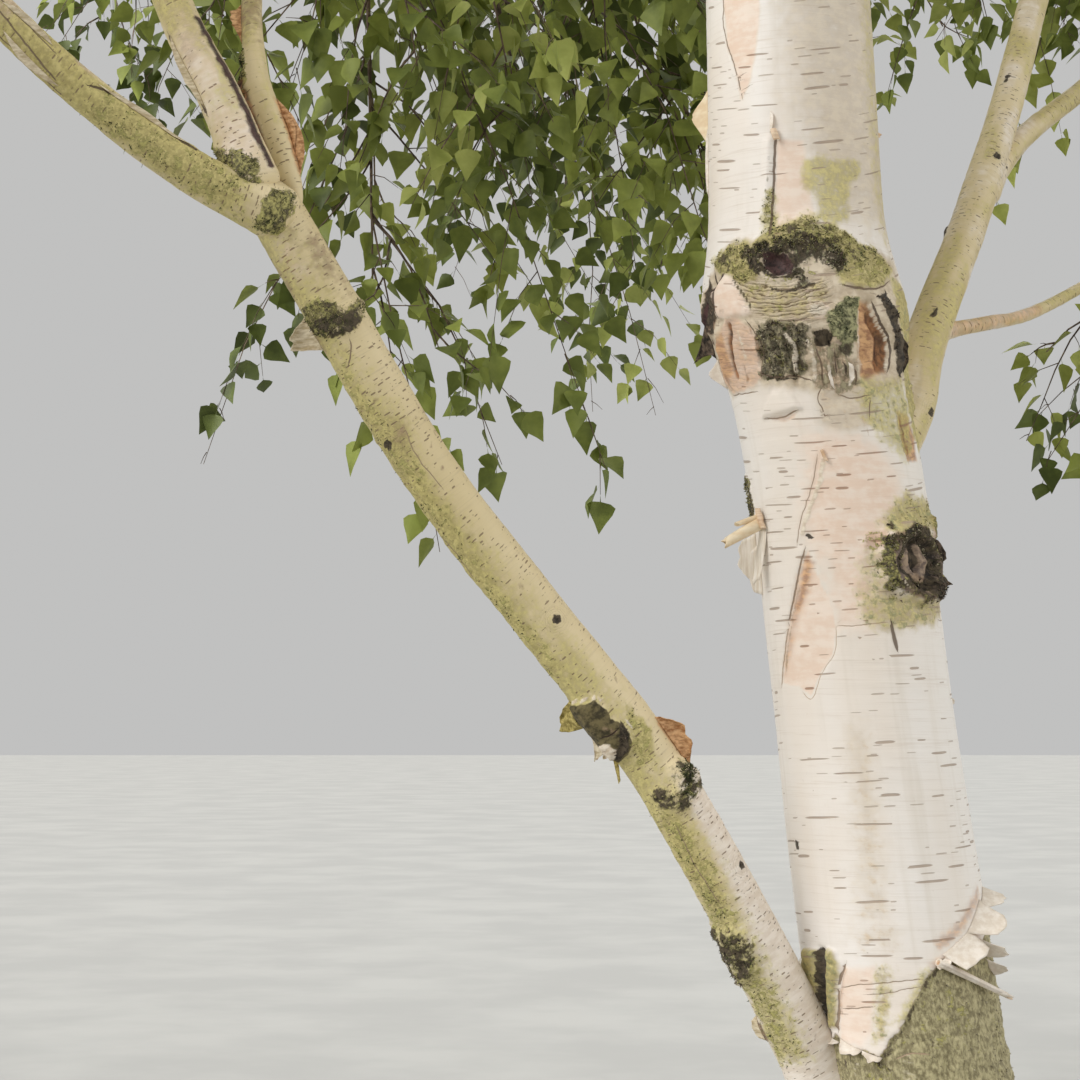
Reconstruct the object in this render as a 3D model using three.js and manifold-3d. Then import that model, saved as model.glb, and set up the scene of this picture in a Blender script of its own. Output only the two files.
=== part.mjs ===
// A silver birch with its crown, standing in the ground, in millimetres with +Z up.
// The origin is the middle of the flat cut under the trunk. +X is to the right of somebody who looks at
// the tree along +Y. The tree has one tall trunk, a low stem that leans to the left from near its foot,
// a bough to the right and behind, and twelve boughs that climb round the trunk. Each limb ends in its
// own mass of hanging twigs and leaves.
import * as THREE from 'three';
import { mergeVertices } from 'three/addons/utils/BufferGeometryUtils.js';
import Module from 'manifold-3d';

const wasm = await Module();
wasm.setup();
const { Manifold } = wasm;

// Driving dimensions
const trunkTop = 8350; // height of the trunk's own tip, where the topmost mass begins
const trunkTipRadius = 12;
const trunkSides = 16;
const chestRadius = 94; // trunk's radius about a metre up
const footLobes = 5; // root swellings round the foot
const footLobeDepth = 0.16; // of the radius, at ground level
const footFlareHeight = 420; // the swellings fade out at this height
const collarHeight = 1275; // ring of old branch scars round the trunk
const collarSwell = 15;
const collarSpan = 61; // the collar's swelling fades out over this height
const seatGap = 0.3; // clearance between a limb and what it grows from
const cutGap = 0.39; // clearance at the corners of a cut, which leaves about seatGap at its flats

const goldenAngle = 137.508;
const boughCount = 12;
const firstBoughHeight = 1780;
const boughSpacing = 470;
const firstBoughBearing = 100; // degrees from +X towards +Y

const stemReach = 0.62; // how far a mass's middle lies out from its start, as a share of its radius
const twigCount = 6; // in each mass
const twigSteps = 3; // straight stretches of one twig
const twigDroop = 0.32; // how much steeper each stretch of a twig hangs
const twigRadius = 6;
const sprayStations = [0.24, 0.5, 0.76, 0.96]; // shares of a twig's length
const spraySlopes = [-0.45, 0.3, -1.3]; // rise or fall of a spray, in the order tried
const spraySizes = [1.3, 1.05, 0.85];
const leafSpray = { length: 500, width: 300, thickness: 10, widest: 0.46 };

const massGap = 14; // half of the empty space kept between two masses
const limbGap = 40; // empty space kept between leaves and a limb
const twigGap = 22; // empty space kept between a twig and a limb or another twig
const sprayGap = 55; // least distance between the places of two sprays

const barkWhite = new THREE.MeshStandardMaterial({ color: 0xe9e0d4, roughness: 0.7, metalness: 0 });
const barkTan = new THREE.MeshStandardMaterial({ color: 0xcbbd98, roughness: 0.75, metalness: 0 });
const leafGreen = new THREE.MeshStandardMaterial({ color: 0x4d7330, roughness: 0.6, metalness: 0 });

const point = (x, y, z) => new THREE.Vector3(x, y, z);
const up = point(0, 0, 1);
const nearlyUp = point(0.1, -0.2, 1); // parallel to no limb
const radians = THREE.MathUtils.degToRad;
const mix = THREE.MathUtils.lerp;

// Solids

// A geometry as a solid, with its shared corners merged.
function solidOf(geometry) {
  const bare = geometry.clone();
  bare.deleteAttribute('normal');
  bare.deleteAttribute('uv');
  const merged = mergeVertices(bare, 1e-3);
  return new Manifold(
    new wasm.Mesh({
      numProp: 3,
      vertProperties: merged.attributes.position.array,
      triVerts: new Uint32Array(merged.index.array),
    }),
  );
}

function geometryOf(solid) {
  const mesh = solid.getMesh();
  const geometry = new THREE.BufferGeometry();
  geometry.setAttribute('position', new THREE.BufferAttribute(mesh.vertProperties, 3));
  geometry.setIndex(new THREE.BufferAttribute(mesh.triVerts, 1));
  geometry.computeVertexNormals();
  return geometry;
}

// The largest body of a solid: loose scraps and sealed hollows are dropped.
function largestBody(solid) {
  const bodies = solid.decompose();
  return bodies.reduce((best, body) => (body.volume() > best.volume() ? body : best));
}

// Limbs

// A limb is a curve with a radius at each place along it, from 0 at its root to 1 at its tip.
function limbBetween(name, curve, radiusAt, sides, steps) {
  return { name, curve, radiusAt, sides, steps };
}

const taper = (rootRadius, tipRadius) => (t) => mix(rootRadius, tipRadius, t);

// Square-on frames along a curve, each turned as little as possible from the one before. The first
// is nearly upright, so that a three-sided twig has an edge on top and a face to each side.
function ringsAlong(curve, steps) {
  const rings = [];
  let side = nearlyUp;
  for (let i = 0; i <= steps; i += 1) {
    const tangent = curve.getTangent(i / steps);
    side = side.clone().addScaledVector(tangent, -side.dot(tangent)).normalize();
    rings.push({ centre: curve.getPoint(i / steps), tangent, side, over: tangent.clone().cross(side) });
  }
  return rings;
}

// A tapering tube along the limb, closed at both ends. A cylinder's rings are moved onto the curve.
// With a clearance it is that much larger all round, ends too, and makes room for the limb in others.
function limbGeometry(limb, clearance = 0) {
  const { curve, radiusAt, sides, steps } = limb;
  const rings = ringsAlong(curve, steps);
  const tube = new THREE.CylinderGeometry(1, 1, 1, sides, steps);
  const places = tube.attributes.position;
  const moved = point(0, 0, 0);
  for (let i = 0; i < places.count; i += 1) {
    const step = Math.round((places.getY(i) + 0.5) * steps);
    const { centre, tangent, side, over } = rings[step];
    const radius = radiusAt(step / steps) + clearance;
    const overrun = clearance * ((step === steps) - (step === 0));
    moved.copy(centre).addScaledVector(tangent, overrun);
    moved.addScaledVector(over, places.getX(i) * radius);
    moved.addScaledVector(side, places.getZ(i) * radius);
    places.setXYZ(i, moved.x, moved.y, moved.z);
  }
  return tube;
}

// The limb's centre line as short straight stretches, for keeping leaves clear of it.
function limbStretches(limb) {
  const count = 24;
  return Array.from({ length: count }, (_, i) => ({
    from: limb.curve.getPoint(i / count),
    to: limb.curve.getPoint((i + 1) / count),
    radius: limb.radiusAt(i / count),
  }));
}

// The trunk

// Rows of height, sway in X and Y, and radius.
const trunkRows = [
  [0, 0, 0, 136],
  [200, 4, 2, 112],
  [400, 0, 3, 103],
  [620, -28, 2, 100],
  [860, -58, 0, chestRadius],
  [1080, -82, 0, chestRadius],
  [1290, -116, 4, 95],
  [1510, -126, 8, 91],
  [1900, -132, 18, 85],
  [2700, -122, 40, 75],
  [3900, -80, 55, 61],
  [5400, 0, 40, 43],
  [6900, 70, 0, 25],
  [trunkTop, 60, -20, trunkTipRadius],
];
const curveThrough = (points) => new THREE.CatmullRomCurve3(points, false, 'catmullrom', 0.5);
const trunkAxis = curveThrough(trunkRows.map(([z, x, y]) => point(x, y, z)));
const trunkRadii = curveThrough(trunkRows.map(([z, , , radius]) => point(radius, 0, z)));

// How far along the trunk's curve, from 0 to 1, a height lies.
function trunkPlace(height) {
  let low = 0;
  let high = 1;
  for (let i = 0; i < 40; i += 1) {
    const middle = (low + high) / 2;
    if (trunkAxis.getPoint(middle).z < height) low = middle;
    else high = middle;
  }
  return (low + high) / 2;
}

function trunkRadius(height) {
  const plain = trunkRadii.getPoint(trunkPlace(height)).x;
  const fromCollar = (height - collarHeight) / collarSpan;
  return plain + collarSwell * Math.exp(-fromCollar * fromCollar);
}

// Level rings up the trunk, closer together at the foot and at the collar.
function trunkRings() {
  const rings = [];
  for (let z = 0; z < 600; z += 100) rings.push(z);
  for (let z = 600; z < 1150; z += 180) rings.push(z);
  for (let z = 1180; z < 1400; z += 45) rings.push(z);
  for (let z = 1500; z < trunkTop - 300; z += 550) rings.push(z);
  rings.push(trunkTop);
  return rings;
}

function trunkGeometry(clearance = 0) {
  const rings = trunkRings();
  const tube = new THREE.CylinderGeometry(1, 1, 1, trunkSides, rings.length - 1);
  tube.rotateX(Math.PI / 2);
  const places = tube.attributes.position;
  for (let i = 0; i < places.count; i += 1) {
    const ring = Math.round((places.getZ(i) + 0.5) * (rings.length - 1));
    const z = rings[ring];
    const centre = trunkAxis.getPoint(trunkPlace(z));
    const bearing = Math.atan2(places.getY(i), places.getX(i));
    const reach = Math.hypot(places.getX(i), places.getY(i)); // 0 in the middle of a cap
    const flare = Math.max(0, 1 - z / footFlareHeight) ** 2;
    const lobes = 1 + footLobeDepth * flare * Math.cos(footLobes * bearing + 0.6);
    const radius = (trunkRadius(z) * lobes + clearance) * Math.min(1, reach);
    places.setXYZ(i, centre.x + Math.cos(bearing) * radius, centre.y + Math.sin(bearing) * radius, z);
  }
  return tube;
}

// The low stem, the right bough and their limbs, by the places that they pass

const lowStemCurve = curveThrough([
  point(-20, 0, 285),
  point(-66, -8, 380),
  point(-111, -20, 471),
  point(-185, -53, 619),
  point(-284, -87, 791),
  point(-405, -120, 945),
  point(-515, -153, 1089),
  point(-614, -187, 1256),
  point(-681, -212, 1370),
]);
const lowStem = limbBetween('low_stem', lowStemCurve, taper(33, 27), 12, 14);

const lowStemLeftLimb = limbBetween(
  'low_stem_left_limb',
  curveThrough([
    point(-640, -205, 1325),
    point(-731, -235, 1364),
    point(-806, -260, 1413),
    point(-902, -300, 1493),
    point(-1010, -335, 1610),
    point(-1110, -350, 1750),
  ]),
  taper(23, 14),
  10,
  8,
);

const lowStemUpperLimb = limbBetween(
  'low_stem_upper_limb',
  curveThrough([
    point(-676, -215, 1345),
    point(-716, -213, 1448),
    point(-768, -200, 1553),
    point(-850, -150, 1780),
    point(-930, -60, 2080),
    point(-1000, 30, 2420),
  ]),
  taper(23, 13),
  10,
  9,
);

const lowStemSideLimb = limbBetween(
  'low_stem_side_limb',
  curveThrough([
    point(-640, -188, 1345),
    point(-664, -172, 1420),
    point(-690, -150, 1500),
    point(-700, -90, 1620),
    point(-680, 20, 1800),
  ]),
  taper(14, 9),
  8,
  8,
);

const rightBough = limbBetween(
  'right_bough',
  curveThrough([
    point(-70, 40, 1060),
    point(5, 80, 1168),
    point(34, 105, 1261),
    point(111, 200, 1438),
    point(180, 300, 1620),
    point(260, 430, 1870),
    point(330, 570, 2180),
  ]),
  taper(28, 15),
  12,
  12,
);

const rightBoughUpperLimb = limbBetween(
  'right_bough_upper_limb',
  curveThrough([
    point(118, 208, 1450),
    point(187, 300, 1542),
    point(285, 400, 1631),
    point(400, 500, 1735),
    point(560, 610, 1850),
  ]),
  taper(15, 9),
  8,
  7,
);

const rightBoughLowerLimb = limbBetween(
  'right_bough_lower_limb',
  curveThrough([
    point(40, 108, 1270),
    point(110, 160, 1290),
    point(173, 215, 1311),
    point(256, 300, 1359),
    point(380, 400, 1440),
  ]),
  taper(9, 6),
  8,
  7,
);

// Boughs round the trunk

// A direction from its bearing round the tree and its rise above level, both in degrees.
function heading(bearing, rise) {
  return point(1, 0, 0).applyAxisAngle(point(0, -1, 0), radians(rise)).applyAxisAngle(up, radians(bearing));
}

// A bough's place in the crown is a share, from 0 for the lowest to 1 for the highest.
const boughLengthAt = (share) => mix(1250, 560, share ** 1.5);
const massRadiusAt = (share) => mix(1000, 620, share ** 1.3);

function climbingBough(index) {
  const share = index / (boughCount - 1);
  const height = firstBoughHeight + index * boughSpacing;
  const bearing = firstBoughBearing + index * goldenAngle;
  const length = boughLengthAt(share);
  const root = trunkAxis.getPoint(trunkPlace(height));
  const bend = root.clone().addScaledVector(heading(bearing, mix(48, 62, share)), length * 0.55);
  const tip = bend.clone().addScaledVector(heading(bearing, mix(26, 48, share)), length * 0.45);
  const curve = new THREE.QuadraticBezierCurve3(root, bend, tip);
  const radiusAt = taper(mix(27, 15, share), mix(14, 11, share));
  return { ...limbBetween(`bough_${index + 1}`, curve, radiusAt, 8, 6), share };
}

const climbingBoughs = Array.from({ length: boughCount }, (_, index) => climbingBough(index));

// A limb's solid, seated clear of the larger limb that it grows from.
function seatedLimb(limb, carriers) {
  const plain = solidOf(limbGeometry(limb));
  return largestBody(carriers.reduce((left, carrier) => left.subtract(carrier), plain));
}

// Masses of foliage

// A seeded draw between 0 and 1, the same on every run.
function seededDraw(seed) {
  let state = Math.imul(seed, 2654435761) >>> 0;
  return () => {
    state = (Math.imul(state, 1664525) + 1013904223) >>> 0;
    return state / 4294967296;
  };
}

// A mass grows from its start in a direction, inside an ellipsoid that reaches outwards. Its lift is how
// high the ellipsoid's middle lies above the start, as a share of the half height.
function massFrom(start, direction, stemRadius, { name, radius, halfHeight, lift }, firstTwig = 0.12) {
  const outward = point(direction.x, direction.y, 0);
  const spread = Math.min(1, outward.length() * 1.4);
  outward.normalize();
  const centre = start.clone().addScaledVector(outward, radius * stemReach * spread);
  centre.addScaledVector(up, halfHeight * lift);
  return { name, start, direction, stemRadius, radius, halfHeight, centre, outward, spread, firstTwig };
}

function massAtTip({ limb, ...shape }) {
  const direction = limb.curve.getTangent(1);
  const start = limb.curve.getPoint(1).addScaledVector(direction, seatGap);
  return massFrom(start, direction, limb.radiusAt(1) * 0.92, { name: `foliage_${limb.name}`, ...shape });
}

// A mass that grows straight from the trunk. Its stem starts on the trunk's axis and is cut clear of it.
function massOnTrunk({ height, bearing, ...shape }) {
  const start = trunkAxis.getPoint(trunkPlace(height));
  const mass = massFrom(start, heading(bearing, 52), 11, { lift: 0.55, ...shape }, 0.24);
  return { ...mass, rootedInTrunk: true };
}

function massOnBough(bough) {
  const radius = massRadiusAt(bough.share);
  return massAtTip({ limb: bough, radius, halfHeight: radius * 1.12, lift: mix(-0.05, 0.3, bough.share) });
}

const masses = [
  ...[
    { limb: lowStemLeftLimb, radius: 680, halfHeight: 820, lift: 0.1 },
    { limb: lowStemUpperLimb, radius: 720, halfHeight: 880, lift: 0.05 },
    { limb: lowStemSideLimb, radius: 660, halfHeight: 740, lift: -0.12 },
    { limb: rightBough, radius: 700, halfHeight: 800, lift: 0.1 },
    { limb: rightBoughUpperLimb, radius: 600, halfHeight: 640, lift: 0.1 },
    { limb: rightBoughLowerLimb, radius: 520, halfHeight: 480, lift: 0.05 },
  ].map(massAtTip),
  ...climbingBoughs.map(massOnBough),
  ...[
    { name: 'foliage_trunk_low', height: 3000, bearing: 330, radius: 760, halfHeight: 740 },
    { name: 'foliage_trunk_middle', height: 4400, bearing: 120, radius: 760, halfHeight: 740 },
    { name: 'foliage_trunk_high', height: 5700, bearing: 10, radius: 680, halfHeight: 700 },
    { name: 'foliage_trunk_upper', height: 7250, bearing: 200, radius: 600, halfHeight: 640 },
    { name: 'foliage_trunk_crest', height: 7650, bearing: 40, radius: 600, halfHeight: 640 },
  ].map(massOnTrunk),
  massFrom(trunkAxis.getPoint(1).addScaledVector(up, seatGap), up, trunkTipRadius * 0.92, {
    name: 'foliage_top',
    radius: 520,
    halfHeight: 560,
    lift: 0.6,
  }),
];

// A place's distance from the mass's middle, where 1 is on the ellipsoid's surface.
function nearness(mass, place) {
  const across = Math.hypot(place.x - mass.centre.x, place.y - mass.centre.y) / mass.radius;
  return Math.hypot(across, (place.z - mass.centre.z) / mass.halfHeight);
}

// Whether a place is inside the mass's own space: in its ellipsoid, and nearer to its middle than to
// the middle of any other mass.
function isOwnSpace(mass, place) {
  const own = nearness(mass, place) + massGap / mass.radius;
  if (own > 1) return false;
  return masses.every((other) => other === mass || nearness(other, place) - massGap / other.radius > own);
}

const allLimbs = [
  lowStem,
  lowStemLeftLimb,
  lowStemUpperLimb,
  lowStemSideLimb,
  rightBough,
  rightBoughUpperLimb,
  rightBoughLowerLimb,
  ...climbingBoughs,
];

function trunkStretches() {
  const step = 120;
  const heights = Array.from({ length: Math.ceil(trunkTop / step) }, (_, i) => i * step);
  return heights.map((z) => ({
    from: trunkAxis.getPoint(trunkPlace(z)),
    to: trunkAxis.getPoint(trunkPlace(z + step)),
    radius: trunkRadius(z),
  }));
}

const woodStretches = [...trunkStretches(), ...allLimbs.flatMap(limbStretches)];
const nearestOnLine = new THREE.Line3();
const nearestPlace = point(0, 0, 0);

function isClearOf(stretches, place, gap) {
  return stretches.every(({ from, to, radius }) => {
    nearestOnLine.set(from, to).closestPointToPoint(place, true, nearestPlace);
    return nearestPlace.distanceTo(place) > radius + gap;
  });
}

// One spray of leaves: a thin eight-faced blade that starts on the twig's own middle line.
function sprayGeometry({ root, heads, side, size }) {
  const { length, width, thickness, widest } = leafSpray;
  const blade = new THREE.OctahedronGeometry(1, 0);
  blade.scale((width * size) / 2, thickness / 2, 1);
  const places = blade.attributes.position;
  for (let i = 0; i < places.count; i += 1) {
    const end = places.getZ(i);
    places.setZ(i, length * size * (end === 0 ? widest : (end + 1) / 2));
  }
  blade.applyMatrix4(new THREE.Matrix4().makeBasis(side, heads.clone().cross(side), heads));
  return blade.translate(root.x, root.y, root.z);
}

// Places on a spray's middle line and along its two edges.
function sprayPlaces({ root, heads, side, size }) {
  const { length, width, widest } = leafSpray;
  return [0.25, widest, 0.75, 1].flatMap((share) => {
    const middle = root.clone().addScaledVector(heads, share * length * size);
    const out = ((width * size) / 2) * Math.min(share / widest, (1 - share) / (1 - widest));
    return [-out, 0, out].map((across) => middle.clone().addScaledVector(side, across));
  });
}

// A spray fits where all of it lies in its mass's own space, clear of the wood, of the mass's own
// twigs and of its other sprays.
function sprayFits(mass, places, twigStretches, taken) {
  return places.every(
    (place) =>
      isOwnSpace(mass, place) &&
      isClearOf(woodStretches, place, limbGap) &&
      isClearOf(twigStretches, place, twigGap) &&
      taken.every((other) => other.distanceTo(place) > sprayGap),
  );
}

// A twig's way: it leaves the stem and droops a little more on each stretch. It ends where it would
// leave its mass's space or come near the wood or another twig.
function twigPlaces(mass, root, direction, length, neighbours) {
  const obstacles = [...woodStretches, ...neighbours];
  const isFree = (place) => isClearOf(obstacles, place, twigGap);
  const places = [root];
  const heads = direction.clone().normalize();
  for (let i = 0; i < twigSteps; i += 1) {
    const last = places[i];
    const next = last.clone().addScaledVector(heads, length / twigSteps);
    if (!isOwnSpace(mass, next) || !isFree(next) || !isFree(last.clone().lerp(next, 0.5))) break;
    places.push(next);
    heads.addScaledVector(up, -twigDroop).normalize();
  }
  return places;
}

// The stem's way: out of the limb, and over towards the mass's outer side.
function massStem({ start, direction, centre, outward, radius, halfHeight, spread }) {
  const bend = start.clone().addScaledVector(direction, radius * stemReach);
  const end = centre.clone().addScaledVector(outward, radius * 0.55 * spread);
  end.addScaledVector(up, halfHeight * mix(0.72, 0.1, spread));
  return new THREE.QuadraticBezierCurve3(start, bend, end);
}

function stretchesBetween(places, radius) {
  return places.slice(1).map((to, i) => ({ from: places[i], to, radius }));
}

// The twigs of a mass leave its stem turned by the golden angle from one to the next.
function growTwigs(mass, stem, seed) {
  const twigs = [];
  const wood = stretchesBetween(stem.getPoints(8), mass.stemRadius);
  for (let k = 0; k < twigCount; k += 1) {
    const draw = seededDraw(seed + k);
    const share = (k + 0.5) / twigCount;
    const along = mix(mass.firstTwig, 0.98, share);
    const tangent = stem.getTangent(along);
    const across = new THREE.Vector3().crossVectors(tangent, nearlyUp).normalize();
    across.applyAxisAngle(tangent, radians(k * goldenAngle + 50 * draw()));
    const direction = tangent.multiplyScalar(0.5).add(across);
    const length = mass.radius * mix(1.15, 0.8, share) * mix(0.85, 1.15, draw());
    const places = twigPlaces(mass, stem.getPoint(along), direction, length, wood);
    if (places.length > 1) {
      twigs.push({ places, draw });
      wood.push(...stretchesBetween(places, twigRadius));
    }
  }
  return { twigs, wood };
}

// The ways a spray may leave a twig at a place: to either hand, at each slope, in each size.
function sprayOptions(root, along, hand, swing, roll) {
  const level = new THREE.Vector3().crossVectors(along, nearlyUp).normalize();
  const ways = spraySlopes.flatMap((slope) => [hand, -hand].map((turn) => ({ slope, turn })));
  return ways.flatMap(({ slope, turn }) => {
    const heads = along.clone().addScaledVector(level, turn * swing).addScaledVector(up, slope).normalize();
    const side = new THREE.Vector3().crossVectors(heads, nearlyUp).normalize();
    side.applyAxisAngle(heads, turn * roll);
    return spraySizes.map((size) => ({ root, heads, side, size }));
  });
}

// The sprays of one twig stand to the left and right in turn, and the last one carries its end on.
// Each takes the first way and the largest size that fit, or is left out.
function growSprays(mass, { places, draw }, wood, taken) {
  const sprays = [];
  const stations = sprayStations.slice(places.length > 2 ? 0 : 1);
  stations.forEach((station, i) => {
    const reach = station * (places.length - 1);
    const stretch = Math.floor(reach);
    const root = places[stretch].clone().lerp(places[stretch + 1], reach - stretch);
    const along = places[stretch + 1].clone().sub(places[stretch]).normalize();
    const swing = i === stations.length - 1 ? 0.45 : 1;
    const options = sprayOptions(root, along, i % 2 === 0 ? 1 : -1, swing, mix(-0.2, 1.2, draw()));
    const fitting = options.find((spray) => sprayFits(mass, sprayPlaces(spray), wood, taken));
    if (fitting) {
      taken.push(...sprayPlaces(fitting));
      sprays.push(fitting);
    }
  });
  return sprays;
}

// A mass: its stem, its twigs and the sprays that fit, fused.
function growMass(mass, seed) {
  const stem = massStem(mass);
  const { twigs, wood } = growTwigs(mass, stem, seed);
  const taken = [];
  const sprays = twigs.flatMap((twig) => growSprays(mass, twig, wood, taken));
  const tubes = twigs.map(({ places }) =>
    limbBetween('twig', curveThrough(places), taper(twigRadius, twigRadius * 0.9), 3, places.length - 1),
  );
  tubes.push(limbBetween('stem', stem, taper(mass.stemRadius, 9), 4, 3));
  const pieces = [...tubes.map((tube) => limbGeometry(tube)), ...sprays.map(sprayGeometry)];
  return Manifold.union(pieces.map(solidOf)).simplify(0.05);
}

// The tree

const tree = new THREE.Group();

function addSolid(name, solid, material) {
  const mesh = new THREE.Mesh(geometryOf(solid), material);
  mesh.name = name;
  tree.add(mesh);
}

const roomRoundTrunk = solidOf(trunkGeometry(cutGap));
const roomRound = (limb) => solidOf(limbGeometry(limb, cutGap));
const addLimb = (limb, carriers) => addSolid(limb.name, seatedLimb(limb, carriers), barkTan);

addSolid('trunk', solidOf(trunkGeometry()), barkWhite);
addLimb(lowStem, [roomRoundTrunk]);
addLimb(rightBough, [roomRoundTrunk]);
climbingBoughs.forEach((bough) => addLimb(bough, [roomRoundTrunk]));

addLimb(lowStemUpperLimb, [roomRound(lowStem)]);
addLimb(lowStemLeftLimb, [lowStem, lowStemUpperLimb].map(roomRound));
addLimb(lowStemSideLimb, [lowStem, lowStemUpperLimb].map(roomRound));
addLimb(rightBoughUpperLimb, [roomRound(rightBough)]);
addLimb(rightBoughLowerLimb, [roomRound(rightBough)]);

masses.forEach((mass, index) => {
  const grown = growMass(mass, (index + 11) * 100);
  addSolid(mass.name, largestBody(mass.rootedInTrunk ? grown.subtract(roomRoundTrunk) : grown), leafGreen);
});

export default tree;
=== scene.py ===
# The silver birch, dressed for its render. Growing is worked out in millimetres, as the tree's own
# sizes are given, and every mesh is made in metres.
import itertools
import math
from types import SimpleNamespace

import bmesh
import bpy
import numpy as np
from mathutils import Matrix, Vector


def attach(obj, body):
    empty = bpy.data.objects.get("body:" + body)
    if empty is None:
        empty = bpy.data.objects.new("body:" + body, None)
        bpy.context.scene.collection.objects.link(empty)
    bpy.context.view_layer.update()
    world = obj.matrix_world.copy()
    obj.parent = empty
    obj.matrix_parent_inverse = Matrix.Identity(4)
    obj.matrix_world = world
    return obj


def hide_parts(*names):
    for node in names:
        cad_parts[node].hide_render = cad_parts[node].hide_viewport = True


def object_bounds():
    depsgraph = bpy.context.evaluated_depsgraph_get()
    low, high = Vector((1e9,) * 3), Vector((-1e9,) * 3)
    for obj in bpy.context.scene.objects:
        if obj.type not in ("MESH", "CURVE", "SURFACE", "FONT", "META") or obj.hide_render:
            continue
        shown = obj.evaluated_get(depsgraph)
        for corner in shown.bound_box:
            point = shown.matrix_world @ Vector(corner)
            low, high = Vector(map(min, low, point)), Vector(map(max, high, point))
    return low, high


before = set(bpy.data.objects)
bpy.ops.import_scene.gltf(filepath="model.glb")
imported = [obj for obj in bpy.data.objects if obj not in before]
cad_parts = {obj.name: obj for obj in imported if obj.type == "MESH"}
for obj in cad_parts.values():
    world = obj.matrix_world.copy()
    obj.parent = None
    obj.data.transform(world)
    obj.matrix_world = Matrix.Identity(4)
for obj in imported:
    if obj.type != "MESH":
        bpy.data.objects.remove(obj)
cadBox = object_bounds()
metre = 0.001  # one millimetre, in metres
up = np.array([0.0, 0.0, 1.0])
nearlyUp = np.array([0.1, -0.2, 1.0])  # parallel to no limb

view = {
    "eye": (-0.40, -2.40, 0.83),  # metres
    "pitch": 4.70,  # degrees above level
    "lens": 75,  # millimetres
    "trunk": (-0.08, 0, 0),  # where the trunk stands in it
}
towardsEye = np.array([*view["eye"][:2], 0.0]) - view["trunk"]
towardsEye = towardsEye / np.linalg.norm(towardsEye)
faceBearing = math.degrees(math.atan2(towardsEye[1], towardsEye[0]))

print("1. frame loaded:", len(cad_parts), "nodes")


# Small sums


def mix(a, b, share):
    return a + (b - a) * share


def unit(v):
    return v / np.linalg.norm(v, axis=-1, keepdims=True)


def ease(low, high, value):  # 0 below low, 1 above high
    share = np.clip((value - low) / (high - low), 0, 1)
    return share * share * (3 - 2 * share)


def turned(v, axis, angle):  # v turned about a unit axis, in radians
    cos = math.cos(angle)
    return v * cos + np.cross(axis, v) * math.sin(angle) + axis * (axis @ v) * (1 - cos)


cellMixers = (374761393, 668265263, 1442695041)  # large odd numbers that mix the three whole places


def cellDraw(cells):  # a repeatable number from -1 to 1 for each whole cell
    mixed = (cells * np.array(cellMixers)).sum(-1)
    mixed = (mixed ^ (mixed >> 13)) * 1274126177
    return ((mixed ^ (mixed >> 16)) & 0xFFFF) / 32767.5 - 1


def softNoise(places, size, seed=0):
    scaled = places / np.array(size, float) + seed * 17.3
    cell = np.floor(scaled).astype(np.int64)
    part = scaled - cell
    part = part * part * (3 - 2 * part)
    total = 0
    for corner in itertools.product((0, 1), repeat=3):
        weight = np.prod(np.where(corner, part, 1 - part), axis=-1)
        total = total + weight * cellDraw(cell + corner)
    return total


def roughNoise(places, size, octaves=3, seed=0):
    size = np.array(size, float)
    return sum(softNoise(places, size / 2**i, seed + i) / 2**i for i in range(octaves))


# Curves, given as functions of a share from 0 to 1


def curveThrough(points):
    points = np.array(points, float)
    held = np.vstack([2 * points[0] - points[1], points, 2 * points[-1] - points[-2]])
    spans = len(points) - 1

    def at(share):
        reach = np.clip(np.asarray(share, float), 0, 1) * spans
        i = np.minimum(reach.astype(int), spans - 1)
        w = (reach - i)[..., None]
        a, b, c, d = (held[i + k] for k in range(4))
        bent = (2 * a - 5 * b + 4 * c - d) * w**2 + (3 * b - a - 3 * c + d) * w**3
        return 0.5 * (2 * b + (c - a) * w + bent)

    return at


def bentCurve(start, bend, end):
    def at(share):
        w = np.asarray(share, float)[..., None]
        return start * (1 - w) ** 2 + bend * 2 * w * (1 - w) + end * w**2

    return at


def headingAt(curve, share):
    step = 0.0001
    return unit(curve(min(share + step, 1)) - curve(max(share - step, 0)))


# The trunk's and limbs' lines, by the same sizes as the solids

trunkSize = {
    "top": 8350,
    "tipRadius": 12,
    "footLobes": 5,
    "footLobeDepth": 0.16,  # of the radius, at ground level
    "footFlareHeight": 420,
    "collarHeight": 1275,
    "collarSwell": 15,
    "collarSpan": 61,
}
trunkRows = [  # height, sway in X and Y, radius
    (0, 0, 0, 136),
    (200, 4, 2, 112),
    (400, 0, 3, 103),
    (620, -28, 2, 100),
    (860, -58, 0, 94),
    (1080, -82, 0, 94),
    (1290, -116, 4, 95),
    (1510, -126, 8, 91),
    (1900, -132, 18, 85),
    (2700, -122, 40, 75),
    (3900, -80, 55, 61),
    (5400, 0, 40, 43),
    (6900, 70, 0, 25),
    (trunkSize["top"], 60, -20, trunkSize["tipRadius"]),
]
trunkAxis = curveThrough([(x, y, z) for z, x, y, _ in trunkRows])
trunkRadii = curveThrough([(radius, 0, z) for z, _, _, radius in trunkRows])


def trunkPlace(height):  # how far along the trunk's curve a height lies
    low = np.zeros(np.shape(height))
    high = np.ones(np.shape(height))
    for _ in range(40):
        middle = (low + high) / 2
        under = trunkAxis(middle)[..., 2] < height
        low = np.where(under, middle, low)
        high = np.where(under, high, middle)
    return (low + high) / 2


def trunkRadius(height):
    plain = trunkRadii(trunkPlace(height))[..., 0]
    fromCollar = (height - trunkSize["collarHeight"]) / trunkSize["collarSpan"]
    return plain + trunkSize["collarSwell"] * np.exp(-(fromCollar**2))


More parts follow.
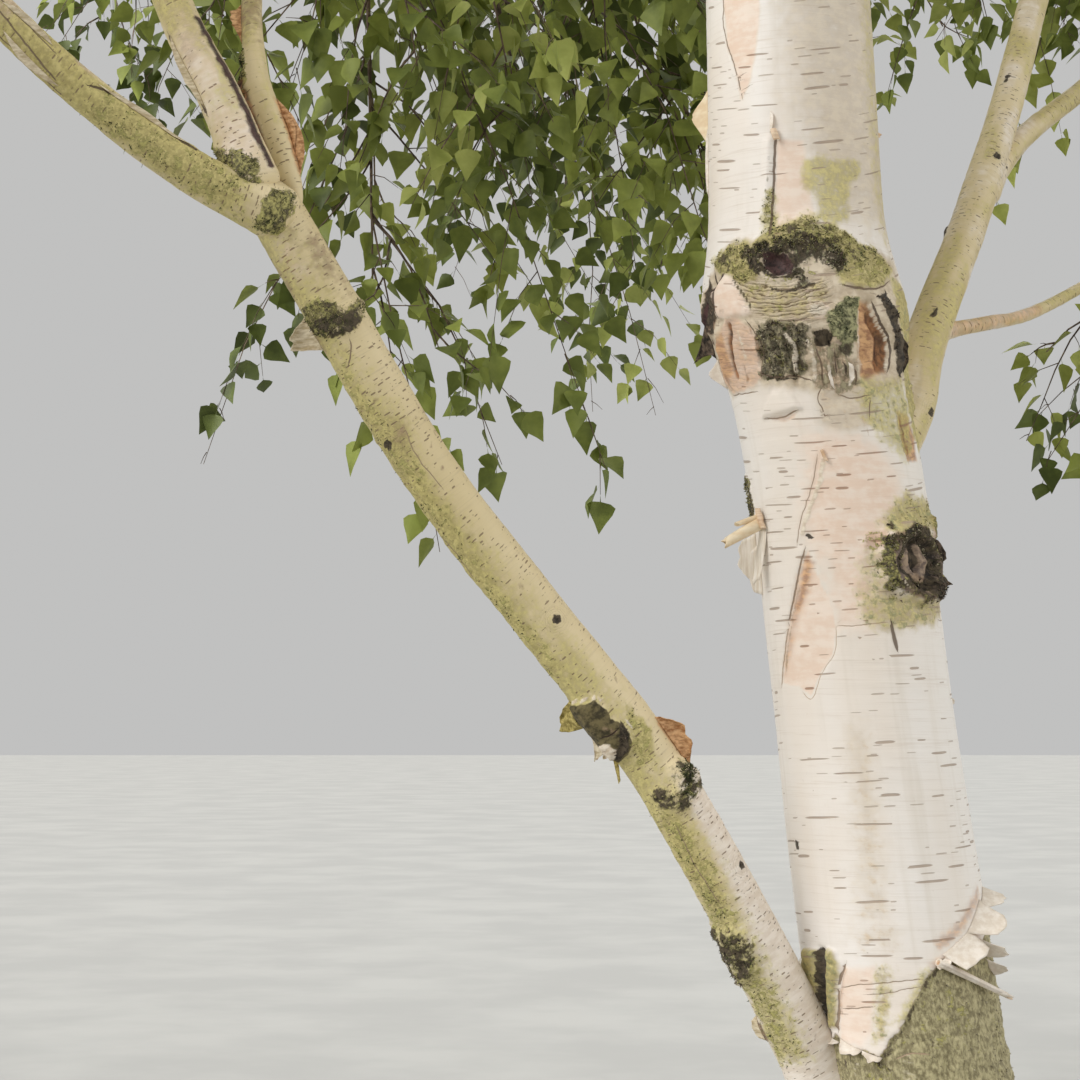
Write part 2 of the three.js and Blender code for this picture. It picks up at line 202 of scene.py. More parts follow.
def limbOf(name, curve, rootRadius, tipRadius):
    return SimpleNamespace(name=name, curve=curve, rootRadius=rootRadius, tipRadius=tipRadius)


limbRows = {  # root and tip radius, and the places that the limb passes
    "low_stem": (33, 27, [(-20, 0, 285), (-66, -8, 380), (-111, -20, 471), (-185, -53, 619), (-284, -87,
        791), (-405, -120, 945), (-515, -153, 1089), (-614, -187, 1256), (-681, -212, 1370)]),
    "low_stem_left_limb": (23, 14, [(-640, -205, 1325), (-731, -235, 1364), (-806, -260, 1413), (-902, -300,
        1493), (-1010, -335, 1610), (-1110, -350, 1750)]),
    "low_stem_upper_limb": (23, 13, [(-676, -215, 1345), (-716, -213, 1448), (-768, -200, 1553), (-850,
        -150, 1780), (-930, -60, 2080), (-1000, 30, 2420)]),
    "low_stem_side_limb": (14, 9, [(-640, -188, 1345), (-664, -172, 1420), (-690, -150, 1500), (-700, -90,
        1620), (-680, 20, 1800)]),
    "right_bough": (28, 15, [(-70, 40, 1060), (5, 80, 1168), (34, 105, 1261), (111, 200, 1438), (180, 300,
        1620), (260, 430, 1870), (330, 570, 2180)]),
    "right_bough_upper_limb": (15, 9, [(118, 208, 1450), (187, 300, 1542), (285, 400, 1631), (400, 500,
        1735), (560, 610, 1850)]),
    "right_bough_lower_limb": (9, 6, [(40, 108, 1270), (110, 160, 1290), (173, 215, 1311), (256, 300, 1359),
        (380, 400, 1440)]),
}
limbs = {
    name: limbOf(name, curveThrough(points), root, tip) for name, (root, tip, points) in limbRows.items()
}

climbing = {
    "count": 12,
    "firstHeight": 1780,
    "spacing": 470,
    "firstBearing": 100,
    "goldenAngle": 137.508,
    "length": (1250, 560),  # lowest bough, highest bough
    "lengthPower": 1.5,
    "rootRadius": (27, 15),
    "tipRadius": (14, 11),
    "rootRise": (48, 62),  # degrees above level
    "tipRise": (26, 48),
    "rootShare": 0.55,  # of the length, before the bend
    "tipShare": 0.45,
}


def heading(bearing, rise):
    level = math.cos(math.radians(rise))
    x = math.cos(math.radians(bearing)) * level
    y = math.sin(math.radians(bearing)) * level
    return np.array([x, y, math.sin(math.radians(rise))])


def climbingBough(index):
    share = index / (climbing["count"] - 1)
    bearing = climbing["firstBearing"] + index * climbing["goldenAngle"]
    length = mix(*climbing["length"], share ** climbing["lengthPower"])
    height = climbing["firstHeight"] + index * climbing["spacing"]
    root = trunkAxis(trunkPlace(height))
    bend = root + heading(bearing, mix(*climbing["rootRise"], share)) * length * climbing["rootShare"]
    tip = bend + heading(bearing, mix(*climbing["tipRise"], share)) * length * climbing["tipShare"]
    radii = mix(*climbing["rootRadius"], share), mix(*climbing["tipRadius"], share)
    bough = limbOf(f"bough_{index + 1}", bentCurve(root, bend, tip), *radii)
    bough.share = share
    bough.height = height
    bough.bearing = bearing
    return bough


boughs = [climbingBough(index) for index in range(climbing["count"])]
allLimbs = [*limbs.values(), *boughs]


# Bark surfaces: a grid of rings along a stem, where each place is known by its distance along the stem
# and its turn, in degrees, from the side that faces the camera, to the right as seen from there

paintNames = ("wash", "chalk", "peach", "tan", "ochre", "algae", "lichen", "olive", "brown", "rough", "foot",
              "moss", "dark", "sienna", "plum", "cream", "fold")
bumpyPaints = {"moss", "rough", "dark", "lichen"}
far = 99.0  # millimetres, as good as nowhere near


def barkGrid(name, axis, along, radius, turn, level=False):
    tangent = unit(np.gradient(axis, along, axis=0))
    if level:
        tangent = np.tile(up, (len(axis), 1))
    facing = unit(towardsEye - tangent * (tangent @ towardsEye)[:, None])
    across = np.cross(tangent, facing)
    angle = np.radians(turn)[None, :, None]
    out = facing[:, None] * np.cos(angle) + across[:, None] * np.sin(angle)
    ring = radius[:, None] if radius.ndim == 1 else radius
    nominal = ring.mean(axis=1, keepdims=True)
    shape = (len(axis), len(turn))
    wide = np.broadcast_to(nominal, shape)
    tall = np.broadcast_to(along[:, None], shape)
    coords = np.stack([wide * np.cos(angle[..., 0]), wide * np.sin(angle[..., 0]), tall], -1)
    return SimpleNamespace(
        name=name, axis=axis, along=along, tangent=tangent, turn=turn, out=out,
        ring=np.broadcast_to(ring, shape).copy(), nominal=nominal, coords=coords,
        right=np.cross(tangent[:, None], out), relief=np.zeros(shape),
        paint={paint: np.zeros(shape) for paint in paintNames},
        crackAway=np.full(shape, far), crackWide=np.full(shape, 0.05), crackDeep=np.zeros(shape),
        foldAt=np.zeros(shape),
    )


def girthAt(stem, along):
    return np.interp(along, stem.along, stem.nominal[:, 0])


# The stem's surface near some of its places, unrolled flat: v is up the stem, u is round it to the right
def unroll(stem, places, margin):
    places = np.array(places, float)
    middle = (places[:, 1].min() + places[:, 1].max()) / 2
    corners = np.stack([places[:, 0], np.radians(places[:, 1] - middle) * girthAt(stem, places[:, 0])], -1)
    low, high = corners[:, 0].min() - margin, corners[:, 0].max() + margin
    rows = np.flatnonzero((stem.along > low) & (stem.along < high))
    turn = (stem.turn - middle + 180) % 360 - 180
    reach = np.abs(corners[:, 1]).max() + margin
    columns = np.flatnonzero(np.abs(np.radians(turn)) * girthAt(stem, corners[:, 0].mean()) < reach)
    u = np.radians(turn[columns])[None] * stem.nominal[rows]
    v = stem.along[rows][:, None]
    block = np.ix_(rows, columns)
    return SimpleNamespace(block=block, corners=corners, v=v, u=u, coords=stem.coords[block])


def onStem(stem, flat, values):
    whole = np.zeros(stem.relief.shape)
    whole[flat.block] = values
    return whole


# How far each place is from a line, less than 0 on the line's left as it is followed, and how far along
# the line the nearest point is
def awayFrom(line, flat):
    shape = np.broadcast(flat.v, flat.u).shape
    best, side, run, length = np.full(shape, far), np.ones(shape), np.zeros(shape), 0.0
    for (a, b), (c, d) in zip(line, line[1:]):
        rise, right = c - a, d - b
        stretch = math.hypot(rise, right)
        share = np.clip(((flat.v - a) * rise + (flat.u - b) * right) / stretch**2, 0, 1)
        away = np.hypot(flat.v - a - rise * share, flat.u - b - right * share)
        nearer = away < best
        best = np.where(nearer, away, best)
        side = np.where(nearer, np.where(rise * (flat.u - b) > right * (flat.v - a), 1.0, -1.0), side)
        run = np.where(nearer, length + share * stretch, run)
        length += stretch
    return best * side, run, length


def alongLine(stem, places, margin, fade):
    flat = unroll(stem, places, margin)
    line = curveThrough(flat.corners)(np.linspace(0, 1, 8 * len(places)))
    away, run, length = awayFrom(line, flat)
    return flat, away, np.minimum(ease(0, fade, run), ease(0, fade, length - run))


crackLook = {
    "wander": 0.7,  # how far its line strays, in millimetres
    "wanderGrain": 6,
    "groove": 2.2,  # half width of the groove
    "step": 1.8,  # half width of the step up to the bark that stands up
    "meeting": 9,  # two cracks meet where both are nearer than this
    "fade": 10,  # it fades out over this length at its ends
}
ridgeFade, streakFade = 12, 6


# A crack is drawn by the material as a thin line. The bark on its left stands up by its rise.
def crack(stem, width, dark, depth, rise, reach, places):
    flat, away, ends = alongLine(stem, places, max(crackLook["meeting"], reach * 3), crackLook["fade"])
    away = away + crackLook["wander"] * roughNoise(flat.coords, crackLook["wanderGrain"], 2, seed=4)
    block, step = flat.block, crackLook["step"]
    old = stem.crackAway[block]
    nearer = np.abs(away) < np.abs(old)
    merged = np.where(nearer, away, old)
    border = (nearer[:, 1:] != nearer[:, :-1]) & (np.abs(merged[:, 1:]) < crackLook["meeting"])
    opposed = np.sign(merged[:, 1:]) != np.sign(merged[:, :-1])
    if border.any() and opposed[border].mean() > 0.5:  # signs agree where two cracks' sides meet
        merged = np.where(nearer, -away, old)
    stem.crackAway[block] = merged
    stem.crackWide[block] = np.where(nearer, np.maximum(width * ends, 0.05), stem.crackWide[block])
    stem.crackDeep[block] = np.where(nearer, dark, stem.crackDeep[block])
    stem.relief[block] -= depth * ends * np.exp(-((away / crackLook["groove"]) ** 2))
    stem.relief[block] += rise * ends * ease(step, -step, away) * np.exp(np.minimum(away, 0) / reach)


def ridge(stem, width, rise, places):
    flat, away, ends = alongLine(stem, places, width * 3, ridgeFade)
    stem.relief[flat.block] += rise * ends * np.exp(-((away / width) ** 2))


def streak(stem, paint, strength, width, rise, places):  # a painted ridge, or a painted groove
    flat, away, ends = alongLine(stem, places, width * 3 + 3, streakFade)
    wander = 0.35 * width * softNoise(flat.coords, 5, seed=8)
    mask = ends * np.exp(-(((away + wander) / width) ** 2))
    lay(stem, paint, strength * onStem(stem, flat, mask), rise)


patchGrain = 12  # millimetres


# A patch is 1 inside an oval on the stem and 0 outside it, and a region the same for a shape with corners
def patch(stem, along, turn, tall, wide, ragged=0.3, soft=0.35):
    flat = unroll(stem, [(along, turn)], max(tall, wide) * 1.6)
    edge = 1 - np.hypot((flat.v - along) / tall, flat.u / wide)
    return onStem(stem, flat, ease(0, soft, edge + ragged * roughNoise(flat.coords, patchGrain, 2)))


def region(stem, places, ragged, soft, grain=9):
    flat = unroll(stem, places, soft + 3 * ragged)
    around = np.roll(flat.corners, -1, axis=0)
    away = np.abs(awayFrom([*flat.corners, flat.corners[0]], flat)[0])
    inside = np.zeros(away.shape, bool)
    for (a, b), (c, d) in zip(flat.corners, around):
        if a != c:
            crosses = (a > flat.v) != (c > flat.v)
            inside ^= crosses & (flat.u < b + (d - b) * (flat.v - a) / (c - a))
    signed = np.where(inside, away, -away) + ragged * roughNoise(flat.coords, grain, 3)
    return onStem(stem, flat, ease(-soft, soft, signed))


def lay(stem, paint, mask, relief=0.0):
    stem.paint[paint] = np.maximum(stem.paint[paint], np.clip(mask, 0, 1))
    if relief:
        stem.relief += relief * mask


def foldIn(stem, mask, at):  # folds of bark, where at counts them
    taken = mask > stem.paint["fold"]
    stem.paint["fold"] = np.where(taken, mask, stem.paint["fold"])
    stem.foldAt = np.where(taken, at, stem.foldAt)


knotLook = {  # away from its middle, where its edge is 1
    "plug": (0.45, 0.75),
    "hollow": (0.35, 1.0),
    "hole": (0.75, 1.15),  # how far the dark reaches
    "core": (0.3, 0.7),
    "lip": 1.1,
    "lipWidth": 0.3,
    "uneven": 0.12,
}


# A knot: a hollow with a raised lip, sometimes a plug of old wood in it, and folds of bark round it
def knot(stem, along, turn, tall, wide, depth, lip, plug=0.0, folds=0.0, spacing=5.0, reach=16.0):
    flat = unroll(stem, [(along, turn)], max(tall, wide) * 1.3 + 2.5 * reach)
    size = (tall + wide) / 2
    away = np.hypot((flat.v - along) / tall, flat.u / wide)
    away = away + knotLook["uneven"] * roughNoise(flat.coords, 14, 2, seed=3)
    inner = 1 - ease(*knotLook["plug"], away)
    shape = lip * np.exp(-(((away - knotLook["lip"]) / knotLook["lipWidth"]) ** 2))
    shape -= depth * (1 - ease(*knotLook["hollow"], away))
    stem.relief[flat.block] += shape + plug * inner
    hole = 1 - ease(*knotLook["hole"], away)
    lay(stem, "dark", onStem(stem, flat, hole * (1 - inner) if plug else hole))
    if plug:
        lay(stem, "brown", onStem(stem, flat, ease(*knotLook["core"], inner)))
    if folds:
        out = (away - knotLook["lip"]) * size
        mask = folds * ease(0, 4, out) * np.exp(-np.clip(out, 0, None) / reach)
        foldIn(stem, onStem(stem, flat, mask), onStem(stem, flat, out / spacing))


def furrows(stem, mask, depth, size):  # upright cracks between plates of rough bark
    used = mask > 0
    deep = 1 - np.abs(roughNoise(stem.coords[used], size, 3, seed=9))
    stem.relief[used] += mask[used] * depth * (0.6 - ease(0.62, 0.98, deep) * 1.6)


bumps = {"height": 1.4, "grain": 7}  # on moss, rough bark, dark crust and lichen


def layRegions(stem, regions, grain=9):
    for strengths, relief, ragged, soft, places in regions.values():
        mask = region(stem, places, ragged, soft, grain)
        stem.relief += relief * mask
        for paint, strength in strengths.items():
            lay(stem, paint, strength * mask)
        if bumpyPaints & set(strengths):
            stem.relief += mask * bumps["height"] * roughNoise(stem.coords, bumps["grain"], 2, seed=21)


settling = {"foldHeight": 0.4, "crackNear": (4, 8)}  # millimetres


def settle(stem):  # works out where every place of the stem ends up
    stem.relief += stem.paint["fold"] * settling["foldHeight"] * np.sin(2 * math.pi * stem.foldAt)
    stem.places = stem.axis[:, None] + stem.out * (stem.ring + stem.relief)[..., None]
    stem.paint["foldAt"] = stem.foldAt
    stem.paint["crackDeep"] = stem.crackDeep
    stem.paint["crackSide"] = np.clip(stem.crackAway / stem.crackWide, -9, 9)
    near = 1 - ease(*settling["crackNear"], np.abs(stem.crackAway))
    stem.paint["crackNear"] = near * (stem.crackWide > 0.1)
    return stem


def surfaceAt(stem, along, turn):  # a place on the finished bark, with the ways out, right and along there
    row = np.interp(along, stem.along, np.arange(len(stem.along)))
    column = np.interp((np.asarray(turn) + 180) % 360 - 180, stem.turn, np.arange(len(stem.turn)))
    i = np.minimum(row.astype(int), len(stem.along) - 2)
    j = np.minimum(column.astype(int), len(stem.turn) - 2)
    a, b = (row - i)[..., None], (column - j)[..., None]
    corners = stem.places[i, j] * (1 - a) * (1 - b) + stem.places[i + 1, j] * a * (1 - b)
    place = corners + stem.places[i, j + 1] * (1 - a) * b + stem.places[i + 1, j + 1] * a * b
    return place, stem.out[i, j], stem.right[i, j], stem.tangent[i]


# Meshes


def addPiece(name, mesh, materials, nodes=()):
    piece = bpy.data.objects.new(name, mesh)
    bpy.context.scene.collection.objects.link(piece)
    for material in materials:
        mesh.materials.append(material)
    mesh.polygons.foreach_set("use_smooth", np.ones(len(mesh.polygons), bool))
    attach(piece, "root")
    if nodes:
        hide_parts(*nodes)
    return piece


dashDip = {"from": 850, "to": 1350, "backTo": 3000, "backFrom": 1800}  # heights where it comes and goes


def barkMesh(stem, name, rows=slice(None), bow=0):
    tall, columns = len(stem.along[rows]), len(stem.turn)
    bm = bmesh.new()
    bm.loops.layers.uv.new("unrolled")
    bmesh.ops.create_grid(bm, x_segments=columns - 1, y_segments=tall - 1, size=1, calc_uvs=True)
    mesh = bpy.data.meshes.new(name)
    bm.to_mesh(mesh)
    mesh.vertices.foreach_set("co", (stem.places[rows] * metre).ravel())
    corner = np.zeros(len(mesh.loops), int)
    mesh.loops.foreach_get("vertex_index", corner)
    coords = stem.coords[rows]
    around = np.radians(stem.turn)[None]
    height = coords[..., 2]
    behind = bow * stem.nominal[rows] * (1 - np.cos(around)) * ease(dashDip["from"], dashDip["to"], height)
    behind *= ease(dashDip["backTo"], dashDip["backFrom"], height)
    unrolled = np.stack([around * stem.nominal[rows], height - behind], -1)
    mesh.uv_layers["unrolled"].uv.foreach_set("vector", (unrolled.reshape(-1, 2)[corner] * metre).ravel())
    mesh.attributes.new("bark", "FLOAT_VECTOR", "POINT").data.foreach_set("vector", (coords * metre).ravel())
    for paint, values in stem.paint.items():
        mesh.attributes.new(paint, "FLOAT", "POINT").data.foreach_set("value", values[rows].ravel())
    bm.clear()
    bm.from_mesh(mesh)
    bmesh.ops.remove_doubles(bm, verts=bm.verts, dist=1e-6)
    rims = [edge for edge in bm.edges if edge.is_boundary]
    for edge in rims:
        edge.smooth = False
    bmesh.ops.holes_fill(bm, edges=rims, sides=0)
    bmesh.ops.recalc_face_normals(bm, faces=bm.faces)
    bm.to_mesh(mesh)
    bm.free()
    return mesh


def meshFromArrays(name, places, faces):  # triangles only
    mesh = bpy.data.meshes.new(name)
    mesh.vertices.add(len(places))
    mesh.vertices.foreach_set("co", (places * metre).ravel())
    mesh.loops.add(faces.size)
    mesh.loops.foreach_set("vertex_index", faces.ravel())
    mesh.polygons.add(len(faces))
    mesh.polygons.foreach_set("loop_start", np.arange(0, faces.size, 3))
    mesh.update(calc_edges=True)
    return mesh


def joined(parts):  # several (places, faces) as one
    starts = np.cumsum([0] + [len(places) for places, _ in parts])
    return (
        np.concatenate([places for places, _ in parts]),
        np.concatenate([faces + start for (_, faces), start in zip(parts, starts)]),
    )


def repeated(template, faces, roots, across, ahead, above, size):  # one small shape at many places
    basis = np.stack([across, ahead, above], 1) * np.asarray(size)[:, None, None]
    places = roots[:, None] + np.einsum("kc,nci->nki", template, basis)
    starts = np.arange(len(roots)) * len(template)
    return places.reshape(-1, 3), (faces[None] + starts[:, None, None]).reshape(-1, 3)


def templateOf(bm):
    bmesh.ops.triangulate(bm, faces=bm.faces)
    bm.verts.ensure_lookup_table()
    places = np.array([v.co[:] for v in bm.verts])
    faces = np.array([[v.index for v in face.verts] for face in bm.faces])
    bm.free()
    return places, faces


# Materials

bark = {
    "white": {
        "pale": (0.91, 0.87, 0.825),
        "warm": (0.85, 0.765, 0.67),
        "shade": (0.70, 0.63, 0.53),
        "streak": (0.62, 0.52, 0.42),
        "dash": (0.27, 0.185, 0.13),
        "dashPale": (0.52, 0.41, 0.32),
        "dashLength": 0.058,  # metres, the size of the space that one dash may fill
        "dashSpacing": 0.0145,
        "dashThick": 0.0012,
        "dashShare": (0.18, 0.74),  # how many of the spaces have one, where they are few and where many
        "tilt": -0.05,
    },
    "limb": {
        "pale": (0.77, 0.65, 0.41),
        "warm": (0.65, 0.53, 0.28),
        "shade": (0.48, 0.39, 0.21),
        "streak": (0.48, 0.39, 0.25),
        "dash": (0.15, 0.10, 0.055),
        "dashPale": (0.27, 0.19, 0.12),
        "dashLength": 0.010,
        "dashSpacing": 0.0060,
        "dashThick": 0.0007,
        "dashShare": (0.12, 0.55),
        "tilt": -0.06,
    },
}
# Darker and lighter colour, grain in metres (round, along), how much it covers, where its edge starts and
# ends, how ragged that is, and how far its grain stands up
paints = {
    "wash": ((0.48, 0.37, 0.23), (0.71, 0.60, 0.44), (0.020, 0.012), 0.85, 0.0, 1.0, 0.5, 0.0),
    "chalk": ((0.78, 0.68, 0.58), (0.91, 0.83, 0.75), (0.030, 0.006), 0.90, 0.10, 0.90, 0.5, 0.0),
    "peach": ((0.84, 0.64, 0.50), (0.91, 0.77, 0.655), (0.050, 0.012), 0.90, 0.10, 0.90, 0.3, 0.0),
    "tan": ((0.36, 0.25, 0.15), (0.70, 0.56, 0.40), (0.008, 0.004), 0.90, 0.25, 0.75, 1.0, 0.5),
    # ochre is the orange of inner bark, and is also laid as painted shadow under lifted paper and flaps
    "ochre": ((0.30, 0.11, 0.035), (0.72, 0.42, 0.20), (0.012, 0.006), 0.95, 0.0, 1.0, 0.4, 0.4),
    "algae": ((0.39, 0.335, 0.105), (0.63, 0.555, 0.205), (0.0050, 0.0044), 0.80, 0.05, 0.90, 0.9, 0.5),
    "lichen": ((0.050, 0.056, 0.024), (0.42, 0.41, 0.22), (0.0042, 0.0042), 0.95, 0.30, 0.65, 1.2, 1.6),
    "olive": ((0.030, 0.023, 0.009), (0.17, 0.135, 0.06), (0.007, 0.006), 0.97, 0.35, 0.60, 0.5, 0.6),
    "brown": ((0.085, 0.046, 0.028), (0.36, 0.25, 0.16), (0.008, 0.005), 0.92, 0.20, 0.80, 0.8, 0.6),
    "rough": ((0.045, 0.038, 0.022), (0.40, 0.35, 0.22), (0.0048, 0.0085), 0.96, 0.32, 0.64, 1.3, 1.6),
    "foot": ((0.205, 0.175, 0.085), (0.52, 0.465, 0.26), (0.0034, 0.0060), 0.98, 0.30, 0.65, 0.9, 1.5),
    "moss": ((0.034, 0.030, 0.010), (0.49, 0.45, 0.16), (0.0042, 0.0036), 0.96, 0.34, 0.64, 1.4, 1.8),
    "dark": ((0.009, 0.0065, 0.0045), (0.105, 0.080, 0.052), (0.004, 0.006), 0.97, 0.34, 0.66, 1.2, 1.0),
    # sienna, a dark red-brown, is laid mostly as painted shade: in grooves, in the hollow and under lifted
    # edges
    "sienna": ((0.050, 0.018, 0.008), (0.36, 0.165, 0.070), (0.006, 0.010), 0.95, 0.10, 0.90, 0.5, 0.3),
    "plum": ((0.022, 0.010, 0.010), (0.085, 0.040, 0.038), (0.004, 0.004), 0.98, 0.20, 0.70, 0.5, 0.5),
    "cream": ((0.66, 0.54, 0.40), (0.88, 0.79, 0.65), (0.010, 0.004), 0.95, 0.25, 0.70, 0.7, 0.8),
}
foldTone = (0.15, 0.10, 0.045)
crackTones = (0.60, 0.43, 0.29), (0.030, 0.015, 0.009)  # slight, deep


def newMaterial(name):
    material = bpy.data.materials.new(name)
    material.use_nodes = True
    tree = material.node_tree
    shader = tree.nodes["Principled BSDF"]

    def add(kind, inputs=(), **settings):
        made = tree.nodes.new(kind)
        for key, value in settings.items():
            setattr(made, key, value)
        for key, value in dict(inputs).items():
            if isinstance(value, bpy.types.NodeSocket):
                tree.links.new(value, made.inputs[key])
            else:
                made.inputs[key].default_value = value
        return made

    def amount(attribute):
        return add("ShaderNodeAttribute", attribute_name=attribute).outputs["Fac"]

    return SimpleNamespace(material=material, tree=tree, shader=shader, add=add, amount=amount)


def colour(rgb):
    return (*rgb, 1)


def calc(build, operation, a, b=0.0, c=0.0):
    return build.add("ShaderNodeMath", {0: a, 1: b, 2: c}, operation=operation).outputs[0]


def between(build, value, low, high):  # 0 below low, 1 above high
    inputs = {"Value": value, "From Min": low, "From Max": high}
    return build.add("ShaderNodeMapRange", inputs, interpolation_type="SMOOTHSTEP").outputs[0]


def grain(build, vector, size, detail=3.0, roughness=0.55):  # noise whose spots are size metres long
    scale = tuple(1 / s for s in size)
    stretched = build.add("ShaderNodeVectorMath", {0: vector, 1: scale}, operation="MULTIPLY").outputs[0]
    inputs = {"Vector": stretched, "Scale": 1.0, "Detail": detail, "Roughness": roughness}
    return build.add("ShaderNodeTexNoise", inputs).outputs["Fac"]


def blend(build, share, under, over):
    mixer = build.add("ShaderNodeMix", data_type="RGBA")
    for socket, value in (("Factor_Float", share), ("A_Color", under), ("B_Color", over)):
        slot = next(s for s in mixer.inputs if s.identifier == socket)
        if isinstance(value, bpy.types.NodeSocket):
            build.tree.links.new(value, slot)
        else:
            slot.default_value = value
    return next(s for s in mixer.outputs if s.identifier == "Result_Color")


def product(build, a, b):
    return calc(build, "MULTIPLY", a, b)


def timesPlus(build, a, b, c):  # a times b, plus c
    return calc(build, "MULTIPLY_ADD", a, b, c)


dashLook = {
    "wander": 0.003,  # metres
    "wanderGrain": (0.07, 0.03, 1),
    "randomness": 0.95,
    "half": (0.32, 0.10),  # half length, of a space: how much it differs, and the least
    "blunt": 4.0,
    "edge": (0.35, 1.0),
    "shortSize": (0.4, 0.6, 0.6),  # the short dashes' length, spacing and thickness, by the long ones'
    "shortShare": 0.45,
    "shortStrength": 0.75,
}


# Short dashes across the bark, one in some of the cells of a jittered grid, of many lengths
def dashes(build, unrolled, length, spacing, thick, few, tilt):
    wander = grain(build, unrolled, dashLook["wanderGrain"], 2.0)
    parts = build.add("ShaderNodeSeparateXYZ", {0: unrolled})
    lifted = timesPlus(build, parts.outputs[0], tilt, product(build, wander, dashLook["wander"]))
    shift = build.add("ShaderNodeCombineXYZ", {"Y": lifted}).outputs[0]
    moved = build.add("ShaderNodeVectorMath", {0: unrolled, 1: shift}).outputs[0]
    scale = (1 / length, 1 / spacing, 1)
    cells = build.add("ShaderNodeVectorMath", {0: moved, 1: scale}, operation="MULTIPLY").outputs[0]
    inputs = {"Vector": cells, "Scale": 1.0, "Randomness": dashLook["randomness"]}
    spot = build.add("ShaderNodeTexVoronoi", inputs, voronoi_dimensions="2D")
    offset = build.add("ShaderNodeVectorMath", {0: cells, 1: spot.outputs["Position"]}, operation="SUBTRACT")
    place = build.add("ShaderNodeSeparateXYZ", {0: offset.outputs[0]})
    draws = build.add("ShaderNodeSeparateColor", {0: spot.outputs["Color"]})
    side = calc(build, "DIVIDE", place.outputs[0], timesPlus(build, draws.outputs[0], *dashLook["half"]))
    slim = timesPlus(build, draws.outputs[2], thick / spacing, 0.5 * thick / spacing)
    high = calc(build, "DIVIDE", place.outputs[1], slim)
    blunt = calc(build, "POWER", calc(build, "ABSOLUTE", side), dashLook["blunt"])
    away = calc(build, "ADD", blunt, product(build, high, high))
    there = calc(build, "LESS_THAN", draws.outputs[1], few)
    return product(build, calc(build, "SUBTRACT", 1.0, between(build, away, *dashLook["edge"])), there)


skinGrains = {  # size in metres, detail and roughness, where it starts and ends, and how much it covers
    "broad": ((0.18, 0.18, 0.42), 3.0, 0.55, 0.36, 0.66, 1.0),
    "upright": ((0.016, 0.016, 0.30), 3.0, 0.55, 0.50, 0.78, 0.35),
    "fine": ((0.09, 0.09, 0.0022), 5.0, 0.62, 0.52, 0.80, 0.5),
    "flecks": ((0.005, 0.005, 0.005), 4.0, 0.7, 0.60, 0.80, 0.25),
    "crowding": ((0.14, 0.14, 0.12), 2.0, 0.55, 0.35, 0.65, 1.0),  # where the dashes are many
}


def skinGrain(build, space, name):
    size, detail, roughness, low, high, cover = skinGrains[name]
    pattern = grain(build, space, size, detail, roughness)
    share = between(build, pattern, low, high)
    return (share if cover == 1 else product(build, share, cover)), pattern


def plainBark(build, look, space, unrolled):  # colour, dashes, and how the bark's skin stands up
    base = blend(build, skinGrain(build, space, "broad")[0], colour(look["pale"]), colour(look["warm"]))
    base = blend(build, skinGrain(build, space, "upright")[0], base, colour(look["shade"]))
    streaks, fine = skinGrain(build, space, "fine")
    base = blend(build, streaks, base, colour(look["streak"]))
    base = blend(build, skinGrain(build, space, "flecks")[0], base, colour(look["streak"]))
    thinly, thickly = look["dashShare"]
    few = timesPlus(build, skinGrain(build, space, "crowding")[0], thickly - thinly, thinly)
    size = look["dashLength"], look["dashSpacing"], look["dashThick"]
    long = dashes(build, unrolled, *size, few, look["tilt"])
    size = [whole * part for whole, part in zip(size, dashLook["shortSize"])]
    short = dashes(build, unrolled, *size, product(build, few, dashLook["shortShare"]), look["tilt"])
    return base, calc(build, "MAXIMUM", long, product(build, short, dashLook["shortStrength"])), fine


finish = {
    "skin": 0.25,  # how far the bark's skin and the dashes stand up
    "dash": -0.5,
    "gloss": 0.50,
    "paintGloss": 0.1,
    "dashStrength": 0.8,
    "dashWarmth": 0.6,  # on peach and ochre paper
    "broadGrain": (0.011, 0.011, 0.009),
    "foldWobble": (0.022, 0.022, 0.007),
    "foldBreaks": (0.012, 0.012, 0.004),
    "foldHeight": -0.7,
    "crackHeight": -1.2,
    "mark": 0.9,  # how much a fold's line and a crack cover
    "shine": 0.35,
    "bump": 0.7,
    "bumpHeight": 0.0012,  # metres
}


